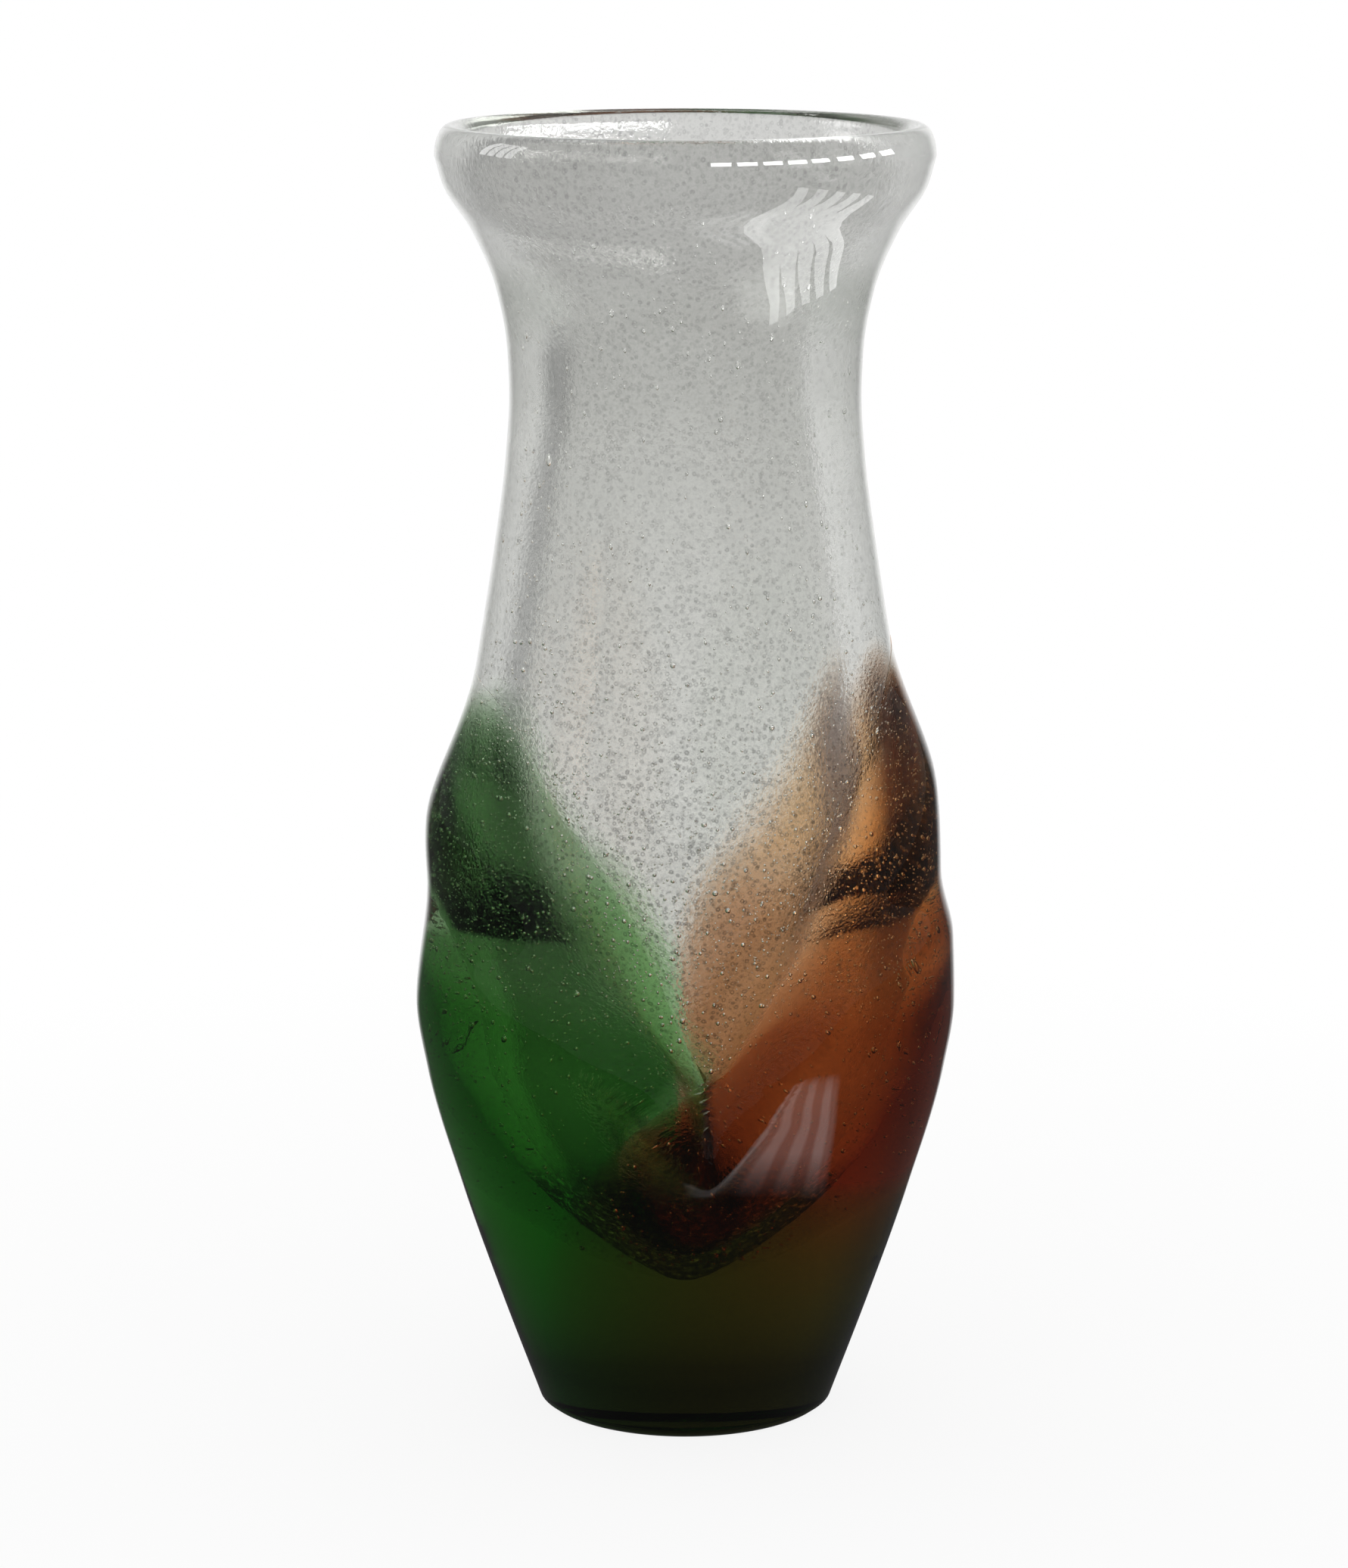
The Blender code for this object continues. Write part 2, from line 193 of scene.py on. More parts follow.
# Heights over which the grain thins out, the seeded glass is painted darker towards
# the top as shade, and the painted shade at the casings' base clears, in metres
GRAIN_FULL_HEIGHT = 0.13
GRAIN_THIN_HEIGHT = 0.20
GRAIN_THIN = 0.5
# Painted shade: the seeded glass turns darker towards the top
TOP_SHADE_START_HEIGHT = 0.15
TOP_SHADE_FULL_HEIGHT = 0.26
TOP_SHADE_SHARE = 0.32
BASE_SHADE_START_HEIGHT = 0.012
BASE_SHADE_END_HEIGHT = 0.064
# Ranges of a pattern's value, as (where the mark starts, where it is full)
SEED_RIM = (0.46, 0.30)
SEED_HEART = (0.10, 0.22)
SEED_CHOICE = (0.40, 0.55)
FLECK = (0.52, 0.80)
# SHADE_SPECK paints specks of shade low down; FILM_SPECK sets the same grey specks in
# the film
SHADE_SPECK = (0.62, 0.52)
FILM_SPECK = (0.50, 0.75)
FILM_SPECK_SHARE = 0.6

GLASS_IOR = 1.5
# Density of an absorption over its strongest loss, so that its colour stays above 0
DENSITY_MARGIN = 1.25
# Light that has met this many faces goes straight on
RELEASE_DEPTH = 3.5

# Bubbles as (name, subdivisions, smallest and largest size in millimetres)
BUBBLE_KINDS = (
    ("seeds", 1, 0.28, 0.55), ("fine_bubbles", 1, 0.5, 0.95),
    ("large_bubbles", 2, 0.9, 1.4))
# Distance that a bubble keeps from the faces, as a share of its size
BUBBLE_CLEARANCE = 0.8
# Most bubbles lie at the shoulder, and those of the neck are drawn out upwards.
# Heights, spread and reach are in metres.
SHOULDER_BUBBLE_SHARE = 0.72
SHOULDER_BUBBLE_HEIGHT = 0.122
SHOULDER_BUBBLE_SPREAD = 0.026
SHOULDER_BUBBLE_TOP = 0.2
BUBBLE_RISE = 0.004
HIGHEST_BUBBLE = 0.268
DRAWN_OUT = 1.2
DRAWN_OUT_HEIGHT = 0.15
DRAWN_OUT_REACH = 0.05

# Steps of the meshes
TURN_STEPS = 144
WALL_STEP = 0.0016
BOTTOM_STEPS = 36
LIP_STEPS = 10
CASING_COLUMNS = 96
PETAL_ROWS = 40
BULGE_ROWS = 34
CUP_ROWS = 26
FOOT_ROWS = 8
EDGE_ANGLE = math.radians(40.0)
# Points nearer than this, in metres, are one
SAME_POINT = 0.000002
# Marks a point of the vessel that no casing can cover
NOT_COVERED = -99.0

# Camera, in pixels, metres, degrees and millimetres
PHOTO_WIDTH = 1781
PHOTO_HEIGHT = 2072
CAMERA_DISTANCE = 1.0136
CAMERA_HEIGHT = 0.3486
CAMERA_PITCH = 11.75
CAMERA_LENS = 109.6
AXIS_OFFSET = 15.0

# Bounces that light may take in the render
BOUNCES = 96
GLASS_BOUNCES = 64

# Studio, in metres. FLOOR_EDGES are where the floor starts and ends to turn from
# paint that takes a shadow to pure white.
FLOOR_RADIUS = 14.0
FLOOR_DROP = 0.0002
FLOOR_EDGES = (0.03, 0.4)
FLOOR_WHITE = 0.88
# Brightness of the room, as ramps over one part of the direction: its start and
# end, then the brightness at each. The brightest ramp counts.
SIDE_WALLS = 0.12
ROOM_RAMPS = (
    ("Y", 0.2, 0.55, SIDE_WALLS, 1.0), ("Y", -0.7, -0.3, 0.7, SIDE_WALLS),
    ("Z", 0.4, 0.8, 0.0, 0.9), ("Z", 0.08, 0.35, 0.8, 0.0))
# What reaches the glass from the left, and what its outer faces reflect
LEFT_RAMP = ("X", -0.8, -0.45, 0.5, 1.0)
MIRRORED_RAMP = ("Y", 0.85, 0.97, 0.06, 1.0)
# Light that has bounced less than this comes straight off an outer face
FIRST_BOUNCE = 1.5
# Where the window's light falls on the floor, in metres: the slant of its stripes,
# its start and end across them, its near and far end and the width of a stripe
PATCH_SLANT = 0.5
PATCH_START = -0.118
PATCH_END = 0.0
PATCH_NEAR = 0.102
PATCH_FAR = 0.220
PATCH_STRIPE = 0.026
# Brightness of the stripes, and how far the edges soften, as shares
PATCH_DIMMEST = 0.8
PATCH_BRIGHTEST = 1.7
PATCH_SOFT_SHARE = 0.06
PATCH_NEAR_SOFT = 1.25
PATCH_FAR_SOFT = 0.8
# Panes of the window and strips of the blind, in degrees: turn, rise, width, height
WINDOW_PANES = [(turn, 15.0, 9.0, 7.0)
                for turn in (16.0, 28.0, 40.0, 52.0, 64.0, 78.0, 92.0, 106.0)]
BLIND_STRIPS = [(turn, 24.0, 4.5, 24.0) for turn in (-88.0, -94.0, -100.0, -106.0)]
PANE_DISTANCE = 2.5
# Glass of a low door on the right, mirrored in the neck
DOOR_TURNS = (57.5, 69.0, 80.5, 92.0, 103.5)
DOOR_PANE = 9.5
DOOR_NEAR = 0.125
DOOR_FAR = 0.500
# Shade of the backdrop paper, and what it sends back by itself under this light
PAPER = 0.25
PAPER_GLOW = 0.1


def linear(hex_color):
    """Turn an sRGB hex value into linear red, green and blue."""
    parts = [int(hex_color[i:i + 2], 16) / 255 for i in (1, 3, 5)]
    return tuple(
        c / 12.92 if c <= 0.04045 else ((c + 0.055) / 1.055) ** 2.4 for c in parts)


def curve_through(shares, flat_start=False, flat_end=False):
    """Return a smooth curve through the points that never overshoots them."""
    xs = [point[0] for point in shares]
    ys = [point[1] for point in shares]
    steps = [b - a for a, b in zip(xs, xs[1:])]
    rates = [(d - c) / h for c, d, h in zip(ys, ys[1:], steps)]
    slopes = [0.0 if flat_start else rates[0]]
    for before, after, left, right in zip(rates, rates[1:], steps, steps[1:]):
        if before * after <= 0:
            slopes.append(0.0)
            continue
        near = 2 * right + left
        far = right + 2 * left
        slopes.append((near + far) / (near / before + far / after))
    slopes.append(0.0 if flat_end else rates[-1])

    def value(x):
        x = min(max(x, xs[0]), xs[-1])
        i = min(max(bisect.bisect_right(xs, x) - 1, 0), len(steps) - 1)
        t = (x - xs[i]) / steps[i]
        rise = ys[i + 1] - ys[i]
        start = slopes[i] * steps[i]
        end = slopes[i + 1] * steps[i]
        bend = start + end - 2 * rise
        return ys[i] + t * (start + t * (3 * rise - 2 * start - end + t * bend))

    return value


FLARE = curve_through(FLARE_SHARES, flat_end=True)
WAIST = curve_through(WAIST_SHARES, flat_start=True, flat_end=True)
CUP = curve_through(CUP_SHARES, flat_end=True)
CORE = curve_through(CORE_SHARES)
MOUTH = curve_through(MOUTH_SHARES, flat_end=True)
CAVITY = curve_through(CAVITY_SHARES, flat_start=True, flat_end=True)
BOWL = curve_through(BOWL_SHARES, flat_end=True)
TAPER = curve_through(TAPER_SHARES, flat_start=True)
FRONT_TURN = curve_through(FRONT_TWIST_SHARES)
BACK_TURN = curve_through(BACK_TWIST_SHARES)
CREASE = curve_through(CREASE_SHARES, flat_end=True)


def smooth_step(t):
    """Ease from 0 to 1 as t goes from 0 to 1."""
    t = min(max(t, 0.0), 1.0)
    return t * t * (3 - 2 * t)


def bump(t):
    """Return a soft bump that is 1 at t of 0 and fades out on both sides."""
    return math.exp(-t * t)


class VaseShape:
    """Radii of the vessel, of the space in it and of the casings at each height."""

    def __init__(self, sizes):
        self.sizes = sizes
        self.lip = sizes.height - LIP_DROP
        self.mouth = sizes.height - MOUTH_DROP

    def between(self, curve, top, bottom, low_radius, high_radius, z):
        """Return the radius on a curve between two heights."""
        share = curve((top - z) / (top - bottom))
        return low_radius + (high_radius - low_radius) * share

    def round_bottom(self, curve, top, bottom, radius, z):
        """Return the radius of a bottom that closes round."""
        return radius * curve(math.sqrt(max(z - bottom, 0.0) / (top - bottom)))

    def vessel(self, z):
        """Return the outer radius of the vessel below its lip."""
        sizes = self.sizes
        if z > NECK_HEIGHT:
            return self.between(
                FLARE, self.lip, NECK_HEIGHT, sizes.neck_radius, sizes.lip_radius, z)
        if z > CUP_HEIGHT:
            return self.between(
                WAIST, NECK_HEIGHT, CUP_HEIGHT, sizes.neck_radius, sizes.cup_radius, z)
        return self.round_bottom(CUP, CUP_HEIGHT, CUP_BOTTOM, sizes.cup_radius, z)

    def cavity(self, z):
        """Return the radius of the space inside the vessel."""
        sizes = self.sizes
        if z > THROAT_HEIGHT:
            return self.between(
                MOUTH, self.mouth, THROAT_HEIGHT, sizes.throat_radius, MOUTH_RADIUS, z)
        if z > CAVITY_HEIGHT:
            return self.between(
                CAVITY, THROAT_HEIGHT, CAVITY_HEIGHT, sizes.throat_radius,
                sizes.cavity_radius, z)
        return self.round_bottom(
            BOWL, CAVITY_HEIGHT, CAVITY_FLOOR, sizes.cavity_radius, z)

    def full(self, z):
        """Return the outer radius of a casing where nothing has pressed it in."""
        sizes = self.sizes
        if z > BELLY_HEIGHT:
            share = (z - BELLY_HEIGHT) / (SHOULDER_HEIGHT - BELLY_HEIGHT)
            fall = sizes.belly_radius - SHOULDER_RADIUS
            return sizes.belly_radius - fall * share ** 2
        return self.between(
            TAPER, BELLY_HEIGHT, 0.0, sizes.base_radius, sizes.belly_radius, z)

    def socket(self, z):
        """Return the inner radius of the casings, where they touch the vessel."""
        if z <= CUP_BOTTOM - WELD_GAP:
            return 0.0
        return self.vessel(z + WELD_GAP) + WELD_GAP

    def core(self, z):
        """Return the radius of the seeded core, which the casings are sunk down to."""
        if z > CORE_HEIGHT:
            return CORE_RADIUS + (z - CORE_HEIGHT) * CORE_FLARE
        return self.round_bottom(CORE, CORE_HEIGHT, CUP_BOTTOM, CORE_RADIUS, z)

    def outline(self):
        """Return the vessel's outline, from its floor over the lip to its bottom."""

        def wall(radius_at, top, bottom):
            count = max(2, round((top - bottom) / WALL_STEP))
            heights = [top + (bottom - top) * i / count for i in range(1, count + 1)]
            return [(radius_at(z), z) for z in heights]

        def bottom(radius_at, top, low):
            shares = [(i / BOTTOM_STEPS) ** 2 for i in range(BOTTOM_STEPS)]
            heights = [low + (top - low) * share for share in reversed(shares)]
            return [(radius_at(z), z) for z in heights]

        inside = wall(self.cavity, self.mouth, THROAT_HEIGHT)
        inside += wall(self.cavity, THROAT_HEIGHT, CAVITY_HEIGHT)
        inside += bottom(self.cavity, CAVITY_HEIGHT, CAVITY_FLOOR)
        points = inside[::-1]
        for i in range(LIP_STEPS):
            turn = math.pi / 2 * i / LIP_STEPS
            across = (LIP_CREST_RADIUS - MOUTH_RADIUS) * (1 - math.cos(turn))
            points.append(
                (MOUTH_RADIUS + across, self.mouth + MOUTH_DROP * math.sin(turn)))
        for i in range(LIP_STEPS + 1):
            turn = math.pi / 2 * i / LIP_STEPS
            across = (self.sizes.lip_radius - LIP_CREST_RADIUS) * math.sin(turn)
            points.append(
                (LIP_CREST_RADIUS + across, self.lip + LIP_DROP * math.cos(turn)))
        points += wall(self.vessel, self.lip, NECK_HEIGHT)
        points += wall(self.vessel, NECK_HEIGHT, CUP_HEIGHT)
        points += bottom(self.vessel, CUP_HEIGHT, CUP_BOTTOM)
        return points


class Casing:
    """Shape of one gather of coloured glass, on one side of the vessel."""

    def __init__(self, shape, side, tip, crease, ridge, step, front, back):
        self.shape = shape
        self.side = side
        self.tip = tip
        self.crease = crease
        self.ridge = ridge
        self.step = step
        self.front = curve_through(front, flat_end=True)
        self.back = curve_through(back, flat_end=True)
        self.partner = None

    def reach(self, share):
        """Return the share of the way from the nearer cusp to the tip."""
        return 1 - abs(2 * share - 1)

    def cusp(self, share):
        """Return the height of the cusp that this column is nearer to."""
        return FRONT_CUSP + (BACK_CUSP - FRONT_CUSP) * smooth_step(share)

    def edge_height(self, share):
        """Return the height of the petal's edge on one column."""
        curve = self.front if share < 0.5 else self.back
        cusp = self.cusp(share)
        return cusp + (self.tip - cusp) * curve(self.reach(share))

    def crease_height(self, share):
        """Return the height at which the bulge starts on one column."""
        cusp = self.cusp(share)
        return cusp + (self.crease - cusp) * CREASE(self.reach(share))

    def thickness(self, share, z):
        """Return the thickness of glass outside the vessel."""
        shape = self.shape
        reach = smooth_step(self.reach(share))
        drop = self.edge_height(share) - z
        petal = shape.sizes.petal_thickness
        petal *= PETAL_CUSP_SHARE + (1 - PETAL_CUSP_SHARE) * reach
        petal *= smooth_step(PETAL_START_SHARE + drop / PETAL_RISE)
        petal += self.ridge * reach * bump((drop - RIDGE_DROP) / RIDGE_REACH)
        turn = 180 * share
        near = min(turn, 180 - turn)
        dent = bump((near - HOLLOW_ANGLE) / HOLLOW_SPREAD)
        dent *= bump((z - HOLLOW_HEIGHT) / HOLLOW_REACH)
        petal -= HOLLOW_DEPTH * dent * smooth_step(drop / HOLLOW_REACH)
        step = CUSP_STEP + (self.step - CUSP_STEP) * reach
        step *= 1 + (BACK_STEP_SHARE - 1) * smooth_step(2 * share - 1)
        full = shape.full(z) - shape.vessel(z)
        top = self.crease_height(share) + step / 2 * smooth_step(
            self.reach(share) / STEP_RISE_REACH)
        start = smooth_step((top - z) / step)
        whole = petal + (full - petal) * start
        return max(whole, PETAL_EDGE + WELD_GAP)

    def inner_radius(self, share, z):
        """Return the inner radius: below its edge the casing is sunk in the vessel."""
        shape = self.shape
        round_wall = shape.socket(z)
        core = min(round_wall, shape.core(z) + WELD_GAP)
        drop = self.edge_height(share) - z
        sunk = smooth_step((drop - SINK_START) / SINK_REACH)
        return round_wall + (core - round_wall) * sunk

    def outer_radius(self, share, z):
        """Return the outer radius of the casing.

        The seam turns below the cusps, but the form that was pressed in doesn't.
        """
        if z <= 0:
            return self.shape.full(z) - BASE_EDGE
        if z < CUP_BOTTOM:
            return self.shape.full(z)
        turn = (math.degrees(self.azimuth(share, z)) - CUSP_ANGLE) * self.side
        turn = (turn + 180) % 360 - 180
        owner = self if turn >= 0 else self.partner
        return self.shape.vessel(z) + owner.thickness(abs(turn) / 180, z)

    def azimuth(self, share, z):
        """Return the angle of a column at one height, in radians from the front."""
        front = FRONT_TWIST * FRONT_TURN((FRONT_CUSP - z) / FRONT_CUSP)
        back = BACK_TWIST * BACK_TURN((BACK_CUSP - z) / BACK_CUSP)
        turned = front + (back - front) * share
        return math.radians(CUSP_ANGLE + turned + self.side * 180 * share)

    def place(self, share, radius, z):
        """Return a point of the casing, clear of the seam by half the weld gap."""
        turn = self.azimuth(share, z)
        middle = self.azimuth(0.5, z)
        x = radius * math.sin(turn) + WELD_GAP / 2 * math.sin(middle)
        y = radius * math.cos(turn) + WELD_GAP / 2 * math.cos(middle)
        return (x, -y, z)

    def heights(self, share):
        """Return the heights of all rows of points on one column."""
        edge = self.edge_height(share)
        crease = self.crease_height(share)
        bottom = CUP_BOTTOM - WELD_GAP
        rows = [edge + (crease - edge) * i / PETAL_ROWS for i in range(PETAL_ROWS)]
        for i in range(BULGE_ROWS):
            rows.append(crease + (LEVEL_HEIGHT - crease) * i / BULGE_ROWS)
        for i in range(CUP_ROWS, 0, -1):
            rows.append(bottom + (LEVEL_HEIGHT - bottom) * (i / CUP_ROWS) ** 2)
        for i in range(FOOT_ROWS):
            rows.append(bottom + (FOOT_HEIGHT - bottom) * i / FOOT_ROWS)
        for i in range(FOOT_ROWS):
            rows.append(FOOT_HEIGHT + (BASE_EDGE - FOOT_HEIGHT) * i / FOOT_ROWS)
        return rows + [BASE_EDGE, 0.0]


def deselect_all():
    """Leave nothing selected, so that an operator acts on the new piece alone."""
    if bpy.context.object and bpy.context.object.mode != "OBJECT":
        bpy.ops.object.mode_set(mode="OBJECT")
    bpy.ops.object.select_all(action="DESELECT")


def make_active(piece):
    """Select one piece alone and make it active."""
    deselect_all()
    piece.select_set(True)
    bpy.context.view_layer.objects.active = piece


def link_mesh(name, mesh):
    """Put a mesh in the scene as a new active object."""
    piece = bpy.data.objects.new(name, mesh)
    bpy.context.scene.collection.objects.link(piece)
    make_active(piece)
    return piece


def add_node(tree, kind, inputs=(), **settings):
    """Add a node, set its settings, and set its inputs or link them to a socket."""
    made = tree.nodes.new(kind)
    for name, value in settings.items():
        setattr(made, name, value)
    for name, value in dict(inputs).items():
        socket = made.inputs[name] if name not in ("A", "B") else next(
            i for i in made.inputs if i.name == name and i.enabled)
        if isinstance(value, bpy.types.NodeSocket):
            tree.links.new(value, socket)
        else:
            socket.default_value = value
    return made


def new_material(name):
    """Return a new material and what adds a node to its tree, which is emptied."""
    material = bpy.data.materials.new(name)
    material.use_nodes = True
    material.node_tree.nodes.clear()
    return material, functools.partial(add_node, material.node_tree)


def absorption(node, lost_per_metre):
    """Return a glass's depth of colour: what it takes off in red, green and blue."""
    density = max(lost_per_metre) * DENSITY_MARGIN
    left = [1 - lost / density for lost in lost_per_metre]
    return node(
        "ShaderNodeVolumeAbsorption",
        {"Color": (*left, 1.0), "Density": density}).outputs[0]


def still_glass(node, share):
    """Keep a share of glass for the first bounces, so that no light stays trapped.

    Light that has gone round in the lip or the neck many times leaves it straight,
    as the seeds of the real glass scatter it out.
    """
    depth = node("ShaderNodeLightPath").outputs["Ray Depth"]
    early = node("ShaderNodeMath", {0: depth, 1: RELEASE_DEPTH}, operation="LESS_THAN")
    return node(
        "ShaderNodeMath", {0: early.outputs[0], 1: share},
        operation="MULTIPLY").outputs[0]


def seeded_glass(colors):
    """Blown soda-lime glass full of fine bubbles, slightly grey.

    The bubbles too small to model show as a grain: tiny pits that catch the light
    and darker flecks between them. Where a casing covers the vessel the two
    glasses are fused, so light passes that face straight on.
    """
    material, node = new_material("seeded_soda_lime_glass")
    place = node("ShaderNodeTexCoord").outputs["Object"]
    height = node("ShaderNodeSeparateXYZ", {0: place}).outputs["Z"]
    dense = node(
        "ShaderNodeMapRange",
        {"Value": height, "From Min": GRAIN_FULL_HEIGHT, "From Max": GRAIN_THIN_HEIGHT,
         "To Min": 1.0, "To Max": GRAIN_THIN}).outputs[0]
    # Painted shade: the seeded glass turns darker towards the top
    top_shade = node(
        "ShaderNodeMapRange",
        {"Value": height, "From Min": TOP_SHADE_START_HEIGHT, "From Max": TOP_SHADE_FULL_HEIGHT,
         "To Max": TOP_SHADE_SHARE}).outputs[0]
    grain = node(
        "ShaderNodeTexNoise",
        {"Vector": place, "Scale": 1 / (GRAIN_MM * MM), "Detail": 2.0,
         "Roughness": 0.6}).outputs[0]
    cells = node(
        "ShaderNodeTexVoronoi",
        {"Vector": place, "Scale": 1 / (SEED_SPACING_MM * MM)}).outputs
    marks = [
        node(
            "ShaderNodeMapRange",
            {"Value": value, "From Min": start, "From Max": full}).outputs[0]
        for value, (start, full) in (
            (cells["Distance"], SEED_RIM), (cells["Distance"], SEED_HEART),
            (cells["Color"], SEED_CHOICE), (grain, FLECK))]
    fleck = marks[0]
    for mark, operation in (
            (marks[1], "MULTIPLY"), (marks[2], "MULTIPLY"), (marks[3], "MAXIMUM"),
            (dense, "MULTIPLY")):
        fleck = node(
            "ShaderNodeMath", {0: fleck, 1: mark}, operation=operation).outputs[0]
    tint = (*colors.seeded_light, 1.0)
    for share in (fleck, top_shade):
        tint = node(
            "ShaderNodeMix",
            {"Factor": share, "A": tint, "B": (*colors.seeded_fleck_and_top_shade, 1.0)},
            data_type="RGBA").outputs[2]
    outside = node("ShaderNodeAttribute", attribute_name="outside")
    inside = node(
        "ShaderNodeMath", {0: 1.0, 1: outside.outputs["Fac"]}, operation="SUBTRACT")
    pits = node(
        "ShaderNodeMath", {0: grain, 1: inside.outputs[0]}, operation="MULTIPLY")
    ripple = node(
        "ShaderNodeBump",
        {"Height": pits.outputs[0], "Strength": 0.3, "Distance": PIT_DEPTH_MM * MM})
    cover = node("ShaderNodeAttribute", attribute_name="cover_mm")
    open_share = node(
        "ShaderNodeMath", {0: 0.0, 1: cover.outputs["Fac"]}, operation="GREATER_THAN")
    shader = node(
        "ShaderNodeBsdfPrincipled",
        {"Base Color": tint, "Roughness": 0.0, "IOR": GLASS_IOR,
         "Transmission Weight": 1.0, "Sheen Weight": 0.35, "Sheen Roughness": 0.4,
         "Normal": ripple.outputs[0],
         "Alpha": still_glass(node, open_share.outputs[0])})
    node(
        "ShaderNodeOutputMaterial",
        {"Surface": shader.outputs[0], "Volume": absorption(node, colors.seeded_loss)})
    return material


def cased_glass(name, lost_per_metre, film_color, dense_color, specks_and_shade_color, skin, dark):
    """Coloured glass gathered over the vessel and fused to it, fire-polished.

    Its colour is in its depth: pale where the gather thins out, nearly black
    where light crosses the whole base. Faint cords from the gathering run down it.
    Its outer faces are painted darker towards the bottom as shade. Grey specks of
    painted shade sit on its fused faces under the vessel's bottom, and the film
    holds some of the same grey specks.
    """
    material, node = new_material(name)
    place = node("ShaderNodeTexCoord").outputs["Object"]
    stretched = node(
        "ShaderNodeMapping", {"Vector": place, "Scale": (1.0, 1.0, CORD_SQUASH)})
    cords = node(
        "ShaderNodeTexNoise",
        {"Vector": stretched.outputs[0], "Scale": 1 / (CORD_SPACING_MM * MM),
         "Detail": 1.0})
    ripple = node(
        "ShaderNodeBump",
        {"Height": cords.outputs[0], "Strength": 0.12, "Distance": CORD_DEPTH_MM * MM})
    height = node("ShaderNodeSeparateXYZ", {0: place}).outputs["Z"]
    # Painted shade: the outer faces turn from the skin tint to the dark tint towards
    # the bottom
    clear = node(
        "ShaderNodeMapRange",
        {"Value": height, "From Min": BASE_SHADE_START_HEIGHT, "From Max": BASE_SHADE_END_HEIGHT})
    tint = node(
        "ShaderNodeMix",
        {"Factor": clear.outputs[0], "A": (*dark, 1.0), "B": (*skin, 1.0)},
        data_type="RGBA")
    fused, depth, side, low = (
        node("ShaderNodeAttribute", attribute_name=layer).outputs["Fac"]
        for layer in ("fused", "film", "dense_side", "specks_and_shade"))
    open_share = node("ShaderNodeMath", {0: 0.5, 1: fused}, operation="GREATER_THAN")
    shader = node(
        "ShaderNodeBsdfPrincipled",
        {"Base Color": tint.outputs[2], "Roughness": 0.0, "IOR": GLASS_IOR,
         "Transmission Weight": 1.0, "Normal": ripple.outputs[0]})
    specks = node(
        "ShaderNodeTexNoise",
        {"Vector": place, "Scale": 1 / (SPECK_MM * MM), "Detail": 1.0})
    # Grey specks: painted shade under the vessel's bottom, and specks in the film
    specks_and_shade = 0.0
    for (start, full), most, where in (
            (SHADE_SPECK, 1.0, low), (FILM_SPECK, FILM_SPECK_SHARE, depth)):
        mark = node(
            "ShaderNodeMapRange",
            {"Value": specks.outputs[0], "From Min": start, "From Max": full,
             "To Max": most})
        mark = node(
            "ShaderNodeMath", {0: mark.outputs[0], 1: where}, operation="MULTIPLY")
        specks_and_shade = node(
            "ShaderNodeMath", {0: specks_and_shade, 1: mark.outputs[0]},
            operation="MAXIMUM").outputs[0]
    film = (1.0, 1.0, 1.0, 1.0)
    for share, color in ((depth, film_color), (side, dense_color), (specks_and_shade, specks_and_shade_color)):
        film = node(
            "ShaderNodeMix", {"Factor": share, "A": film, "B": (*color, 1.0)},
            data_type="RGBA").outputs[2]
    weld = node("ShaderNodeBsdfTransparent", {"Color": film})
    both = node(
        "ShaderNodeMixShader",
        {0: still_glass(node, open_share.outputs[0]), 1: weld.outputs[0],
         2: shader.outputs[0]})
    node(
        "ShaderNodeOutputMaterial",
        {"Surface": both.outputs[0], "Volume": absorption(node, lost_per_metre)})
    return material


def bubble_air(skin):
    """Air in a bubble: the glass round it is the denser side, so its rim is dark.

    The skin of a real bubble is slightly dull, which takes a little off the light.
    """
    material, node = new_material("air_in_bubble")
    shader = node(
        "ShaderNodeBsdfPrincipled",
        {"Base Color": (*skin, 1.0), "Roughness": 0.0, "IOR": 1 / GLASS_IOR,
         "Transmission Weight": 1.0})
    node("ShaderNodeOutputMaterial", {"Surface": shader.outputs[0]})
    return material


def two_casings(shape):
    """Return the shapes of the green gather on the left and the amber on the right."""
    green = Casing(shape, -1, GREEN_TIP, GREEN_CREASE, GREEN_RIDGE, GREEN_STEP,
                   GREEN_FRONT_SHARES, GREEN_BACK_SHARES)
    amber = Casing(shape, 1, AMBER_TIP, AMBER_CREASE, AMBER_RIDGE, AMBER_STEP,
                   AMBER_FRONT_SHARES, AMBER_BACK_SHARES)
    green.partner = amber
    amber.partner = green
    return green, amber


def cover_depth(casings, point):
    """Return how far a point of the vessel lies below the casing's edge, in mm."""
    turn = math.degrees(math.atan2(point.x, -point.y)) - CUSP_ANGLE
    casing = casings[0] if math.sin(math.radians(turn)) < 0 else casings[1]
    share = (turn * casing.side) % 360 / 180
    return (casing.edge_height(min(share, 1.0)) - point.z) / MM


